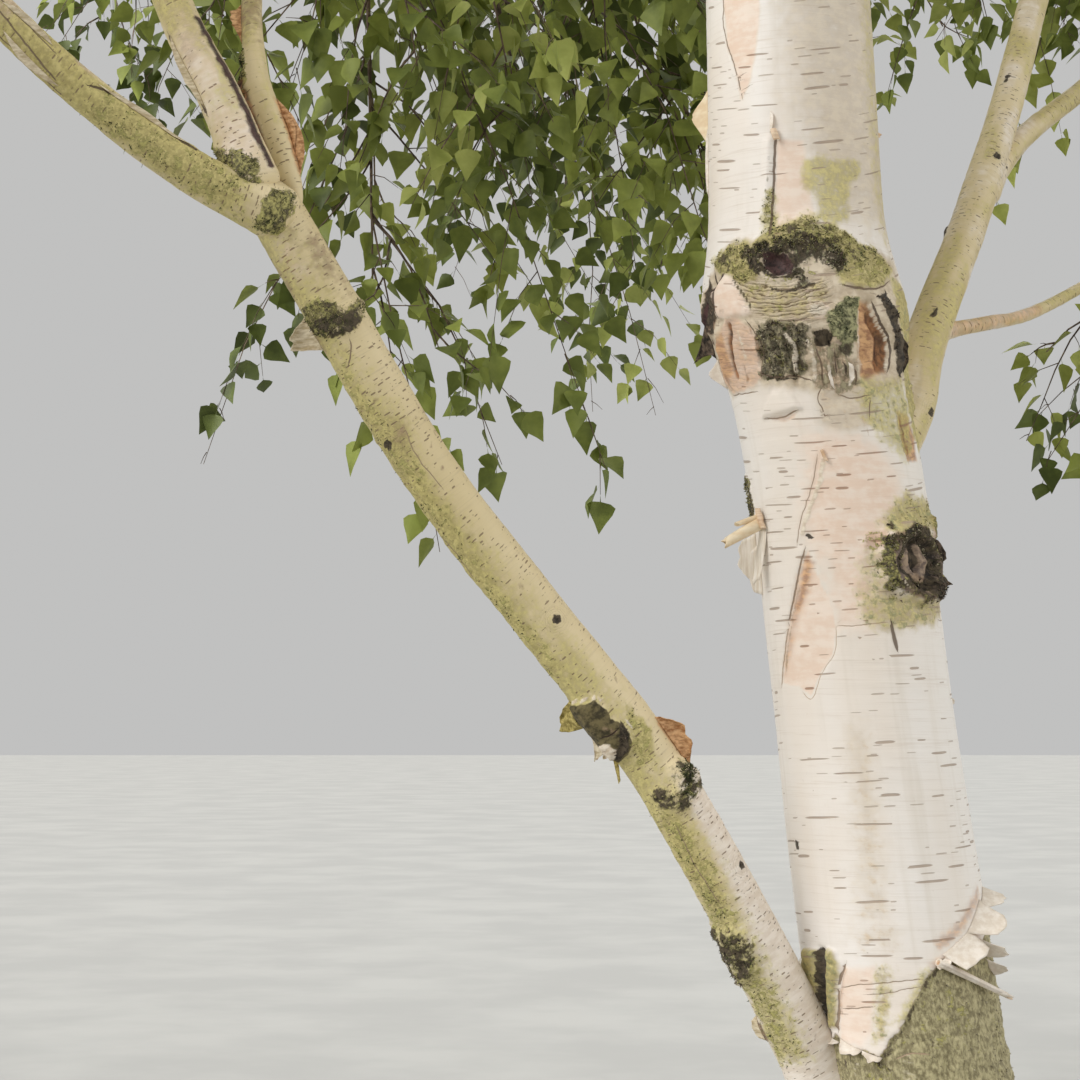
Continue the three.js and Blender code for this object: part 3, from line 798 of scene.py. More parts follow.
def barkMaterial(name, look):
    build = newMaterial(name)
    space = build.add("ShaderNodeAttribute", attribute_name="bark").outputs["Vector"]
    unrolled = build.add("ShaderNodeUVMap", uv_map="unrolled").outputs[0]
    base, dash, fine = plainBark(build, look, space, unrolled)
    height = timesPlus(build, fine, finish["skin"], product(build, dash, finish["dash"]))
    gloss = finish["gloss"]
    warmth = 0.0
    broad = calc(build, "ADD", grain(build, space, finish["broadGrain"], 2.0), -0.5)
    for paint, (deep, light, (wide, tall), cover, low, high, ragged, stands) in paints.items():
        pattern = grain(build, space, (wide, wide, tall), 5.0, 0.65)
        loose = timesPlus(build, pattern, ragged, timesPlus(build, broad, ragged, -ragged / 2))
        amount = build.amount(paint)
        there = between(build, amount, 0.0, 0.15)
        edge = between(build, calc(build, "ADD", amount, loose), low, high)
        edge = product(build, edge, there)
        uneven = timesPlus(build, broad, 0.5, pattern)
        tone = blend(build, between(build, uneven, 0.34, 0.66), colour(deep), colour(light))
        base = blend(build, product(build, edge, cover), base, tone)
        if paint in ("peach", "ochre"):
            warmth = calc(build, "MAXIMUM", edge, warmth)
        if paint == "algae":  # dashes show on paper and through the thin green, and not on crust
            spots = grain(build, space, (0.02, 0.02, 0.01))
            dashTone = blend(build, spots, colour(look["dash"]), colour(look["dashPale"]))
            warmer = product(build, warmth, finish["dashWarmth"])
            dashTone = blend(build, warmer, dashTone, colour(paints["ochre"][0]))
            base = blend(build, product(build, dash, finish["dashStrength"]), base, dashTone)
        if stands:
            height = timesPlus(build, product(build, edge, pattern), stands, height)
            gloss = timesPlus(build, edge, finish["paintGloss"], gloss)
    wobble = grain(build, space, finish["foldWobble"], 3.0)
    counted = timesPlus(build, wobble, 3.0, build.amount("foldAt"))
    wave = calc(build, "SINE", product(build, counted, 2 * math.pi))
    fold = build.amount("fold")
    broken = between(build, grain(build, space, finish["foldBreaks"], 2.0), 0.30, 0.50)
    line = product(build, between(build, wave, 0.50, 1.0), product(build, fold, broken))
    base = blend(build, product(build, line, finish["mark"]), base, colour(foldTone))
    height = timesPlus(build, product(build, wave, fold), finish["foldHeight"], height)
    side = calc(build, "ABSOLUTE", build.amount("crackSide"))
    inside = calc(build, "SUBTRACT", 1.0, between(build, side, 0.5, 1.0))
    mark = product(build, inside, build.amount("crackNear"))
    tone = blend(build, build.amount("crackDeep"), *map(colour, crackTones))
    base = blend(build, product(build, mark, finish["mark"]), base, tone)
    height = timesPlus(build, mark, finish["crackHeight"], height)
    build.tree.links.new(base, build.shader.inputs["Base Color"])
    build.tree.links.new(gloss, build.shader.inputs["Roughness"])
    build.shader.inputs["Specular IOR Level"].default_value = finish["shine"]
    stands = {"Height": height, "Strength": finish["bump"], "Distance": finish["bumpHeight"]}
    bump = build.add("ShaderNodeBump", stands)
    build.tree.links.new(bump.outputs[0], build.shader.inputs["Normal"])
    return build.material


def grainyMaterial(name, deep, light, size, roughness, strength=0.4, distance=0.001, shine=0.4):
    build = newMaterial(name)
    space = build.add("ShaderNodeTexCoord").outputs["Object"]
    pattern = grain(build, space, size, 4.0, 0.6)
    tone = blend(build, between(build, pattern, 0.35, 0.68), colour(deep), colour(light))
    build.tree.links.new(tone, build.shader.inputs["Base Color"])
    build.shader.inputs["Roughness"].default_value = roughness
    build.shader.inputs["Specular IOR Level"].default_value = shine
    bump = build.add("ShaderNodeBump", {"Height": pattern, "Strength": strength, "Distance": distance})
    build.tree.links.new(bump.outputs[0], build.shader.inputs["Normal"])
    return build.material


whiteBark = barkMaterial("whiteBark", bark["white"])
limbBark = barkMaterial("limbBark", bark["limb"])
shades = {  # darker and lighter colour, grain in metres, roughness
    "paperOutside": ((0.74, 0.65, 0.54), (0.88, 0.81, 0.72), (0.010, 0.010, 0.007), 0.6),
    "hungPaper": ((0.74, 0.65, 0.53), (0.93, 0.87, 0.78), (0.003, 0.01, 0.04), 0.6),
    "paperInside": ((0.62, 0.41, 0.25), (0.85, 0.68, 0.50), (0.03, 0.03, 0.003), 0.6),
    "yellowPaper": ((0.78, 0.60, 0.38), (0.89, 0.76, 0.55), (0.02, 0.02, 0.008), 0.6),
    "limbPaper": ((0.50, 0.40, 0.24), (0.80, 0.70, 0.52), (0.01, 0.01, 0.003), 0.65),
    "rust": ((0.34, 0.15, 0.055), (0.80, 0.50, 0.26), (0.008, 0.008, 0.004), 0.7),
    "yellowLichen": ((0.22, 0.17, 0.04), (0.60, 0.49, 0.17), (0.005, 0.005, 0.005), 0.8),
    "crust": ((0.012, 0.009, 0.006), (0.18, 0.13, 0.09), (0.005, 0.005, 0.008), 0.85),
    "paleCrust": ((0.20, 0.17, 0.11), (0.60, 0.54, 0.38), (0.005, 0.005, 0.005), 0.85),
    "brightMoss": ((0.15, 0.13, 0.045), (0.54, 0.49, 0.22), (0.004, 0.004, 0.004), 0.95),
    "deepMoss": ((0.012, 0.018, 0.006), (0.11, 0.13, 0.040), (0.005, 0.005, 0.005), 0.95),
    "greyLichen": ((0.045, 0.055, 0.024), (0.36, 0.38, 0.21), (0.004, 0.004, 0.004), 0.9),
    "twigBark": ((0.065, 0.040, 0.026), (0.22, 0.155, 0.10), (0.01, 0.01, 0.03), 0.7),
}
skins = {name: grainyMaterial(name, *shade) for name, shade in shades.items()}
print("2. materials made")


# The trunk's bark

trunkGrid = {
    "dashBow": 0.3,  # how far the dashes of the upper part dip toward the back
    "rootSpacing": 9.0,  # millimetres between rings, up to where the photograph's view starts
    "viewStart": 400,
    "spacing": 2.36,  # and up to where it ends
    "viewEnd": 1700,
    "crownRings": 90,
    "frontColumns": 1.6,  # degrees
    "backColumns": 4.1,
    "frontEdge": 98,
}
# What it is, its paints and how strong each is, how far it stands out, how ragged and how soft its edge
# is, and its corners as height and turn
trunkRegions = {
    "rightFlank": ({"wash": 0.62}, 0, 8, 40, [(1700, -10), (1700, 110), (1345, 110), (1345, 20),
        (1480, 0)]),
    "rightBand": ({"algae": 0.42}, 0, 6, 18, [(1700, 62), (1700, 105), (1345, 105), (1345, 66),
        (1500, 60)]),
    # painted shade along the hollow's rim, in red-brown and dark
    "hollowEdgeShade": ({"sienna": 1, "dark": 0.4}, -2, 0.6, 4, [(1262, 36), (1249, 39), (1231, 46), (1216, 47),
        (1196, 43), (1198, 40), (1230, 42), (1248, 36)]),
    "vPanel": ({"wash": 0.6, "peach": 1}, -0.3, 1, 4, [(1690, -54), (1604, -49), (1552, -45), (1528, -39),
        (1492, -34), (1507, -28), (1535, -23), (1574, -19), (1690, -15)]),
    "slitPanel": ({"peach": 0.8}, -0.9, 1, 5, [(1443, -10), (1441, 8), (1390, 11), (1356, 12), (1344, 5),
        (1336, -14), (1400, -12)]),
    "squareOfAlgae": ({"algae": 0.74}, 0.2, 2.5, 7, [(1422, 7), (1425, 50), (1411, 48), (1393, 39),
        (1357, 34), (1344, 23), (1347, 15), (1376, 15), (1390, 6)]),
    "collar": ({"wash": 1}, 0, 4, 9, [(1311, -62), (1337, -43), (1340, -16), (1346, 4), (1339, 27),
        (1327, 50), (1322, 75), (1245, 70), (1195, 72), (1176, 41), (1173, 0), (1186, -39), (1181, -75),
        (1205, -90), (1260, -84)]),
    "slitMoss": ({"moss": 0.45, "algae": 0.8}, 0.8, 2, 6, [(1388, -17), (1392, -13), (1350, -11),
        (1336, -14), (1333, -24), (1350, -21)]),
    "brow": ({"algae": 1, "moss": 0.52, "dark": 0.4}, 4, 4, 8, [(1323, -62), (1331, -47), (1338, -36),
        (1332, -28), (1342, -21), (1345, -11), (1356, -3), (1363, 7), (1353, 15), (1343, 29), (1336, 38),
        (1329, 48), (1314, 54), (1305, 40), (1309, 27), (1315, 18), (1324, 2), (1322, -10), (1318, -23),
        (1310, -32), (1301, -38), (1307, -50)]),
    # The brow's dark underside: dark crust and moss, with painted shade beneath the brow's overhang.
    "browDarkLeft": ({"dark": 0.66, "moss": 0.6}, 1.5, 2.5, 5, [(1330, -31), (1333, -20), (1337, -17),
        (1323, -13), (1308, -19), (1296, -22), (1308, -29), (1318, -35)]),
    "browDarkRight": ({"dark": 0.62, "lichen": 0.6}, 1, 3, 6, [(1336, -16), (1335, -4), (1343, 4),
        (1336, 12), (1333, 19), (1326, 26), (1313, 28), (1298, 27), (1295, 21), (1304, 15), (1310, 8),
        (1300, 2), (1284, 5), (1280, -4), (1300, -5), (1317, -3), (1322, -10)]),
    "brightLeft": ({"moss": 0.55, "algae": 1}, 1.5, 2, 4, [(1310, -38), (1313, -30), (1306, -23),
        (1290, -25), (1290, -34), (1297, -40)]),
    "greenFlap": ({"algae": 1, "moss": 0.42}, 1.5, 2, 6, [(1308, 19), (1322, 34), (1323, 54), (1311, 66),
        (1298, 58), (1285, 45), (1281, 32), (1287, 21)]),
    "foldsSkin": ({"wash": 1, "tan": 0.5, "algae": 0.4}, 0, 2.5, 6, [(1296, -38), (1291, -24), (1284, -14),
        (1284, -1), (1288, 12), (1278, 16), (1263, 12), (1247, 5), (1241, -6), (1247, -18), (1256, -27),
        (1274, -34)]),
    "pinkBit": ({"peach": 1, "cream": 0.6}, 1.5, 1.5, 3, [(1264, 1), (1268, 10), (1259, 13), (1248, 8),
        (1247, 1)]),
    "pinkRidge": ({"peach": 1, "chalk": 0.9}, 4, 1.5, 4, [(1303, -46), (1296, -40), (1275, -34),
        (1256, -30), (1256, -48), (1262, -58), (1284, -62)]),
    "darkLeftEdge": ({"dark": 0.75, "brown": 0.9}, 1, 2, 3, [(1304, -63), (1298, -59), (1270, -57),
        (1254, -60), (1244, -72), (1256, -78), (1280, -68)]),
    "curl": ({"peach": 1, "ochre": 0.42}, 1, 1.5, 3, [(1258, -50), (1255, -40), (1241, -33), (1225, -30),
        (1208, -34), (1194, -35), (1186, -40), (1180, -55), (1182, -72), (1203, -83), (1219, -78),
        (1238, -62)]),
    "blackBark": ({"rough": 0.85, "dark": 0.42, "moss": 0.3, "lichen": 0.5}, 1, 5, 8, [(1244, -30),
        (1248, -20), (1247, -9), (1239, 1), (1221, 0), (1206, -3), (1193, -5), (1189, -13), (1188, -25),
        (1196, -35), (1220, -34)]),
    "furrowedPaper": ({"tan": 0.75, "rough": 0.5}, 0.8, 2, 4, [(1238, 1), (1236, 12), (1222, 17),
        (1206, 24), (1180, 26), (1170, 12), (1178, -3), (1200, -2)]),
    "lichen": ({"lichen": 0.9, "algae": 0.6}, 3, 4, 4, [(1249, 11), (1261, 16), (1270, 24), (1271, 31),
        (1257, 30), (1228, 27), (1222, 19), (1230, 14), (1241, 10)]),
    "smallHole": ({"dark": 1}, -6, 1, 2, [(1236, 3), (1238, 11), (1230, 14), (1221, 11), (1221, 3)]),
    # painted shadow cast down from the lichen and the small hole
    "shadowUnderTheLichen": ({"dark": 0.55, "lichen": 0.6}, -1, 2, 5, [(1226, 13), (1224, 24), (1213, 25),
        (1205, 20), (1210, 13)]),
    "hollow": ({"ochre": 0.85}, -4, 0.6, 4, [(1269, 31), (1266, 38), (1250, 43), (1231, 51), (1218, 52),
        (1195, 44), (1188, 32), (1190, 28), (1227, 28)]),
    "curlLeft": ({"ochre": 0.75}, 0, 1, 5, [(1250, -55), (1225, -58), (1200, -60), (1190, -72), (1203, -80),
        (1219, -76), (1238, -64)]),
    "hollowShade": ({"sienna": 0.8}, -3, 0.6, 6, [(1268, 37), (1250, 43), (1231, 51), (1214, 52),
        (1194, 48), (1196, 42), (1229, 43), (1249, 38)]),
    "rightBlade": ({"dark": 0.95}, 2.5, 1.5, 3, [(1275, 44), (1283, 50), (1262, 55), (1242, 60), (1226, 66),
        (1202, 65), (1192, 60), (1198, 57), (1221, 58), (1240, 54)]),
    "greenByTheBlade": ({"algae": 1, "wash": 1, "lichen": 0.3}, 0, 3, 8, [(1300, 62), (1290, 84),
        (1230, 96), (1120, 96), (1120, 76), (1180, 70), (1206, 70), (1230, 71), (1262, 60)]),
    "belowTheCollar": ({"algae": 0.72, "lichen": 0.26}, 0.4, 4, 12, [(1186, 26), (1194, 63), (1172, 72),
        (1120, 66), (1105, 52), (1125, 36), (1150, 23)]),
    "scratched": ({"wash": 0.7, "tan": 0.32}, 0.3, 3, 7, [(1183, -3), (1184, 34), (1141, 32), (1128, 14),
        (1138, -4)]),
    # painted shadow under the small flap's lifted foot
    "shadowUnderTheSmallFlap": ({"ochre": 0.55}, -0.8, 1, 3, [(1150, -36), (1150, -26), (1155, -16), (1148, -19),
        (1144, -27), (1147, -34)]),
    "rightStrip": ({"ochre": 0.8}, -1.8, 1, 3, [(1158, 52), (1156, 68), (1133, 74), (1106, 70), (1104, 55),
        (1128, 52)]),
    "paleZone": ({"peach": 0.85}, 0, 6, 22, [(1135, -15), (1128, 20), (1093, 45), (1051, 40), (1000, 24),
        (950, 20), (925, 10), (930, -10), (960, -12), (999, -14), (1016, -24), (1045, -25)]),
    "underTheStrip": ({"peach": 0.8}, -0.6, 1, 2, [(1012, -24), (985, -20), (958, -13), (932, -11),
        (902, -15), (883, -25), (859, -33), (869, -42), (874, -58), (905, -52), (946, -42), (980, -34)]),
    # painted shadow right under the lifted strip's edge, in ochre
    "shadowCloseUnderTheStrip": ({"ochre": 0.55}, -0.6, 2, 9, [(1008, -25), (980, -29), (946, -35), (905, -45),
        (880, -56), (905, -52), (946, -42), (980, -34)]),
    "overTheKnot": ({"wash": 0.9, "algae": 0.8, "lichen": 0.3}, 0.8, 4, 12, [(1054, 30), (1068, 47),
        (1066, 86), (1035, 86), (1025, 44), (1016, 30), (1037, 25)]),
    "wedgeByTheKnot": ({"ochre": 0.5, "moss": 0.45}, 0.8, 2, 4, [(1014, 10), (1026, 16), (1032, 28),
        (1014, 29), (1007, 18)]),
    "leftOfTheKnot": ({"wash": 1, "algae": 0.45, "lichen": 0.28}, 0.4, 4, 12, [(999, 7), (1011, 13),
        (1014, 26), (979, 26), (960, 30), (953, 8), (978, 5)]),
    "underTheKnot": ({"wash": 1, "algae": 0.6, "lichen": 0.32}, 0.4, 4, 12, [(968, 6), (966, 30), (962, 84),
        (946, 80), (934, 58), (928, 16), (936, 4)]),
    "mossByTheKnot": ({"moss": 0.72, "dark": 0.45, "lichen": 0.6}, 2.5, 3, 5, [(1026, 23), (1032, 33),
        (1010, 33), (993, 29), (970, 31), (966, 23), (987, 20), (1005, 20)]),
    "crustUnderTheKnot": ({"dark": 0.85}, 5, 3, 4, [(980, 58), (986, 70), (983, 86), (964, 84), (959, 66),
        (966, 56)]),
    "tuftByTheKnot": ({"ochre": 0.8, "moss": 0.7}, 6, 3, 4, [(1050, 76), (1050, 92), (1026, 92),
        (1028, 74)]),
    "mossOnTheLeft": ({"dark": 0.62, "moss": 0.6}, 2.5, 3, 4, [(1098, -88), (1092, -74), (1060, -70),
        (1044, -72), (1044, -90)]),
    "fleckedColumn": ({"wash": 0.5, "tan": 0.3}, 0, 6, 20, [(830, -12), (830, 2), (640, -2), (612, -30),
        (630, -22), (690, -17)]),
    "flecksOverTheFoot": ({"wash": 0.4, "tan": 0.34}, 0, 4, 16, [(628, -26), (632, 4), (604, 2),
        (596, -24)]),
    "oliveStreak": ({"tan": 0.6, "algae": 0.6, "lichen": 0.3}, 0, 3, 10, [(583, -14), (586, -4), (553, -7),
        (517, -12), (508, -21), (546, -17)]),
    "oliveBand": ({"algae": 0.8, "lichen": 0.3}, 0, 2.5, 8, [(583, 12), (584, 19), (557, 10), (529, -2),
        (531, -7), (561, 4)]),
    "pinkPanel": ({"peach": 0.75}, 0, 2, 7, [(582, -36), (586, -23), (585, -14), (552, -17), (516, -22),
        (504, -30), (508, -44), (539, -42)]),
    "leftLip": ({"wash": 1, "algae": 0.75, "lichen": 0.3}, 9, 1.5, 3, [(599, -64), (598, -52), (572, -52),
        (547, -56), (527, -60), (540, -68), (569, -74)]),
    "underTheLip": ({"lichen": 0.4, "algae": 0.8, "wash": 1}, 3, 3, 5, [(586, -86), (560, -72), (528, -60),
        (506, -56), (506, -80), (540, -92)]),
    "rightLip": ({"wash": 1, "lichen": 0.42, "algae": 0.9}, 6, 1.5, 3, [(600, -44), (598, -38), (576, -37),
        (556, -42), (522, -45), (520, -51), (548, -50)]),
    "footShade": ({"ochre": 0.62}, -0.6, 2, 6, [(588, 18), (600, 30), (614, 46), (640, 66), (632, 72),
        (606, 54), (590, 36), (582, 22)]),
    "darkSpot": ({"dark": 1}, -0.8, 0.5, 1.5, [(1027, -26), (1028, -22), (1023, -19), (1021, -22)]),
    "smallMark": ({"dark": 0.9}, -0.5, 0.5, 1.5, [(710, -65), (709, -60), (699, -60), (700, -65)]),
}
# What it is, how wide, how dark, how deep, how far its left side stands up and how far that reaches, and
# its places
trunkCracks = {
    "vLeft": (0.8, 0.5, 0.5, 0.6, 14, [(1488, -33), (1528, -39), (1552, -45), (1584, -50), (1604, -49),
        (1690, -54)]),
    "slit": (1.5, 0.75, 1.5, 2.2, 9, [(1334, -16), (1364, -14), (1407, -12), (1450, -10)]),
    "greenFlapEdge": (1.2, 0.7, 1.0, 2.5, 8, [(1284, 20), (1281, 32), (1284, 45), (1297, 61)]),
    "leftEdge": (1.6, 0.95, 2.0, 0.0, 5, [(1314, -58), (1296, -56), (1272, -57), (1252, -58)]),
    "collarFoot": (1.0, 0.7, 1.0, 2.5, 9, [(1196, -37), (1190, -23), (1190, -12), (1183, -1)]),
    "collarFootLeft": (0.7, 0.45, 0.6, 1.0, 7, [(1181, -75), (1179, -55), (1178, -40)]),
    "smallFlap": (0.9, 0.45, 0.8, 0.0, 9, [(1150, -42), (1149, -32), (1151, -24), (1157, -14)]),
    "firstCrack": (0.8, 0.6, 0.6, 0.5, 5, [(1181, 3), (1167, -2), (1157, -1), (1144, 0)]),
    "secondCrack": (0.8, 0.55, 0.6, 0.8, 5, [(1171, 9), (1167, 19), (1172, 33)]),
    "thirdCrack": (0.8, 0.6, 0.6, 0.8, 5, [(1172, 32), (1158, 30), (1142, 28)]),
    "fourthCrack": (0.7, 0.5, 0.5, 0.5, 5, [(1148, -4), (1150, 8)]),
    "firstGap": (1.6, 0.95, 2.5, 0.8, 5, [(1207, 17), (1198, 18), (1188, 18)]),
    "secondGap": (1.0, 0.8, 1.5, 0.8, 5, [(1219, 13), (1204, 13), (1188, 12)]),
    "thirdGap": (1.0, 0.7, 1.2, 0.8, 5, [(1222, 2), (1200, 4), (1180, 2)]),
    "fourthGap": (0.9, 0.7, 1.2, 0.8, 5, [(1204, 24), (1190, 25), (1178, 22)]),
    "curlRightEdge": (1.0, 0.7, 1.0, 2.0, 5, [(1254, -36), (1241, -32), (1225, -29), (1204, -33),
        (1188, -36)]),
    "hollowRightEdge": (1.6, 0.9, 0.5, 1.0, 5, [(1272, 39), (1250, 44), (1231, 52), (1216, 53),
        (1194, 48)]),
    "rightStripEdge": (1.0, 0.6, 1.0, 1.5, 8, [(1104, 55), (1130, 51), (1160, 51)]),
    "peel": (0.5, 0.3, 0.2, 1.8, 6, [(1012, -32), (1045, -25), (1075, -16), (1112, -8)]),
    "liftedStrip": (0.9, 0.5, 1.0, 2.2, 10, [(930, -47), (946, -42), (980, -34), (1016, -25)]),
    "panelRightEdge": (0.5, 0.0, 0.2, 0.8, 20, [(934, -11), (904, -14), (883, -24), (857, -33),
        (867, -41)]),
    "liftedStripFoot": (0.6, 0.2, 0.4, 1.4, 12, [(866, -62), (874, -59), (905, -52), (938, -44)]),
    "tickA": (0.5, 0.4, 0.3, 0.0, 5, [(1500, -36), (1503, -30), (1506, -24)]),
    "tickB": (0.5, 0.4, 0.3, 0.0, 5, [(1514, -40), (1518, -33), (1520, -28)]),
    "panelTopEdge": (0.5, 0.2, 0.2, 0.6, 20, [(936, 24), (932, 4), (931, -12)]),
    "slitUnderTheKnot": (3.0, 0.8, 1.6, 0.8, 5, [(902, 27), (920, 25), (941, 24)]),
    "lipCrack": (0.9, 0.7, 1.0, 0.8, 5, [(524, -70), (556, -72), (592, -66)]),
    "lipLine": (1.3, 0.5, 2.0, 0.0, 5, [(590, -31), (576, -36), (560, -40), (538, -42), (512, -46)]),
    "firstStripe": (0.55, 0.4, 0.4, 0.4, 5, [(562, -40), (566, -28), (569, -14), (575, 14)]),
    "secondStripe": (0.5, 0.35, 0.3, 0.3, 5, [(556, -24), (560, -8), (568, 12)]),
    "thirdStripe": (0.7, 0.5, 0.4, 0.4, 5, [(540, -41), (543, -28), (547, -16)]),
    "footScar": (0.9, 0.2, 0.6, 1.5, 5, [(492, -12), (500, 0), (498, 12)]),
}
# What it is, its paint and how strong that is, half width, rise and places
trunkStreaks = {
    # painted shade along the fold where the paper bends away over the foot
    "footFoldShade": ("ochre", 0.55, 7.0, 0.0, [(604, 22), (622, 40), (644, 58), (664, 72)]),
    "curlRightShade": ("sienna", 0.5, 2.6, 0.0, [(1250, -35), (1225, -32), (1200, -36)]),
    "curlLowShade": ("sienna", 0.62, 2.2, -1.0, [(1210, -48), (1196, -46), (1186, -50)]),
    # painted highlight down the curl's middle lobe
    "curlMiddleHighlight": ("cream", 0.55, 3.0, 0.0, [(1245, -42), (1225, -42), (1205, -43)]),
    # painted shadows along both sides of the pink ridge
    "shadowLeftOfTheRidge": ("plum", 0.9, 2.6, -2.0, [(1306, -45), (1296, -53), (1284, -62), (1262, -72),
        (1236, -82)]),
    "shadowRightOfTheRidge": ("olive", 0.7, 2.2, -1.0, [(1300, -41), (1284, -36), (1268, -31), (1254, -29)]),
    # painted shadow of the lifted strip, in ochre
    "shadowUnderTheLift": ("ochre", 0.75, 7.0, 0.0, [(944, -38), (970, -31), (1004, -23)]),
    "stripShade": ("sienna", 0.7, 2.6, 0.0, [(1154, 55), (1132, 56), (1108, 58)]),
    # painted shade in the groove between the foot's two lips
    "lipGrooveShade": ("dark", 1, 5.5, -6, [(604, -49), (573, -52), (547, -55), (520, -56), (506, -54)]),
    "peelStrip": ("cream", 0.8, 3.0, 1.0, [(1022, -28), (1045, -22), (1075, -12), (1108, -5)]),
    # painted shade along the lifted strip's edge
    "shadeBesideTheLift": ("brown", 0.5, 2.4, 0.0, [(880, -54), (905, -50), (946, -40), (976, -33)]),
    # painted shade along the curl's left edge
    "curlLeftEdgeShade": ("sienna", 0.6, 2.0, 0.0, [(1262, -60), (1246, -64), (1225, -72), (1200, -75),
        (1184, -66)]),
    # painted shade in the groove of the curl
    "curlGrooveShade": ("sienna", 1, 3.4, -4.0, [(1256, -48), (1240, -51), (1220, -56), (1206, -58),
        (1192, -56)]),
    "scratchA": ("tan", 0.62, 1.8, 0.0, [(1172, 22), (1150, 24), (1124, 26)]),
    "scratchB": ("tan", 0.55, 1.6, 0.0, [(1168, 34), (1140, 37), (1108, 38)]),
    "scratchC": ("lichen", 0.55, 1.6, 0.0, [(1176, 44), (1146, 46), (1120, 46)]),
    "scratchD": ("tan", 0.55, 1.6, 0.0, [(1164, 12), (1142, 13), (1130, 13)]),
    "paleLeft": ("cream", 1, 2.2, 2.2, [(1238, -15), (1222, -10), (1206, -11), (1190, -12)]),
    "paleMiddle": ("cream", 0.9, 2.0, 2.0, [(1230, -2), (1206, 0), (1182, -2)]),
    "paleRight": ("cream", 0.8, 1.8, 1.8, [(1206, 8), (1190, 8), (1172, 7)]),
    "paleFarRight": ("cream", 0.8, 1.6, 1.8, [(1204, 21), (1190, 21), (1176, 18)]),
    "hollowRim": ("cream", 1, 1.7, 3.0, [(1270, 37), (1250, 42), (1231, 50), (1216, 51), (1194, 46)]),
    "hollowLeftRim": ("cream", 0.6, 3.0, 1.0, [(1262, 31), (1230, 29), (1194, 29)]),
    "bladeRim": ("cream", 0.55, 1.4, 2.0, [(1275, 50), (1252, 58), (1232, 68)]),
    "underTheBlackBark": ("dark", 0.8, 1.8, -0.5, [(1191, -34), (1189, -20), (1188, -10)]),
    "pinkSpots": ("brown", 0.45, 4.0, 0.0, [(1270, -54), (1262, -46)]),
    "foldShade": ("dark", 0.7, 2.0, -0.5, [(1286, -22), (1278, -12), (1280, 0), (1287, 9)]),
    "slitLipLow": ("olive", 0.42, 3.0, 0.0, [(1430, -14), (1390, -17), (1350, -19)]),
    "underTheSlit": ("algae", 0.8, 6.0, 0.0, [(1380, -16), (1360, -17), (1342, -14)]),
    "knotPaleRim": ("tan", 0.7, 1.5, 1.5, [(1018, 37), (1005, 34), (992, 36)]),
    "knotLowPaleRim": ("cream", 0.8, 1.3, 1.5, [(984, 31), (976, 34), (968, 40)]),
    "knotDarkRim": ("dark", 1, 4.0, -2.0, [(1028, 36), (1031, 50), (1026, 66), (1010, 74)]),
    "leftOfTheSlot": ("ochre", 0.5, 3.0, 0.0, [(586, -32), (560, -38), (530, -42)]),
}
trunkRidges = {  # what it is, half width, rise and places
    "curlLeft": (5, 6, [(1192, -68), (1225, -66), (1254, -58)]),
    "curlRight": (5, 4, [(1190, -44), (1225, -42), (1250, -42)]),
    "bladeRight": (4, 5, [(1200, 60), (1235, 62), (1276, 50)]),
    "bladeLeft": (4, 5, [(1240, -76), (1270, -72), (1300, -66)]),
    "overTheSlit": (4, 2.6, [(1450, -15), (1400, -17), (1350, -21)]),
}
footLine = [(-180, 590), (-120, 540), (-88, 520), (-72, 510), (-55, 508), (-49, 509), (-42, 505), (-27, 498),
            (-20, 491), (-14, 508), (-4, 528), (8, 556), (16, 578), (25, 588), (39, 596), (55, 604),
            (68, 610), (90, 625), (130, 600), (180, 590)]  # turn and height
# Dark marks over the boughs' roots, and the rough bark that they stand on, by a root's radius
brows = {"tall": 0.75, "wide": 1.9, "above": 0.9, "roughTall": 2.0, "roughWide": 2.3}
oldKnots = [(150, 2140), (-30, 2010), (75, 1890), (-120, 1350), (130, 900), (170, 1480), (-150, 700),
            (100, 1180), (-100, 2450), (20, 2600), (-60, 3300)]  # turn and height


def turnsDenseInFront(front, back, edge):
    behind = np.linspace(edge, 180, round((180 - edge) / back) + 1)
    ahead = np.linspace(-edge, edge, round(2 * edge / front) + 1)
    return np.concatenate([-behind[::-1], ahead[1:-1], behind])


def trunkRings():
    low = np.arange(0, trunkGrid["viewStart"], trunkGrid["rootSpacing"])
    seen = np.arange(trunkGrid["viewStart"], trunkGrid["viewEnd"], trunkGrid["spacing"])
    rest = np.linspace(0, 1, trunkGrid["crownRings"]) ** 1.15
    heights = np.concatenate([low, seen, mix(trunkGrid["viewEnd"], trunkSize["top"], rest)])
    axis = trunkAxis(trunkPlace(heights))
    axis[:, 2] = heights
    turn = turnsDenseInFront(trunkGrid["frontColumns"], trunkGrid["backColumns"], trunkGrid["frontEdge"])
    flare = np.maximum(0, 1 - heights / trunkSize["footFlareHeight"]) ** 2
    lobes = np.cos(trunkSize["footLobes"] * np.radians(turn + faceBearing) + 0.6)
    radius = trunkRadius(heights)[:, None] * (1 + trunkSize["footLobeDepth"] * flare[:, None] * lobes)
    return barkGrid("trunk_bark", axis, heights, radius, turn, level=True)


collarLook = {  # each patch: height, turn, and how far it reaches up and round the trunk
    "scar": (1307, -13, 15, 16),  # the old scar in its brow
    "scarRing": (1307, -13, 21, 23),
    "scarMoss": (1306, -13, 40, 36),
    "scarDark": (1309, -14, 25, 28),
    "foldsFrom": (1312, -13),
    "foldSpacing": 4.4,
    "curlSpacing": 5,
    "rough": (1206, -2, 34, 62),
    "flap": [(1190, -25), (1150, -43), (1157, -13)],  # a small one that stands up at its foot
    "flapEnds": (1192, 1150),
    "flapLift": 4.5,
}


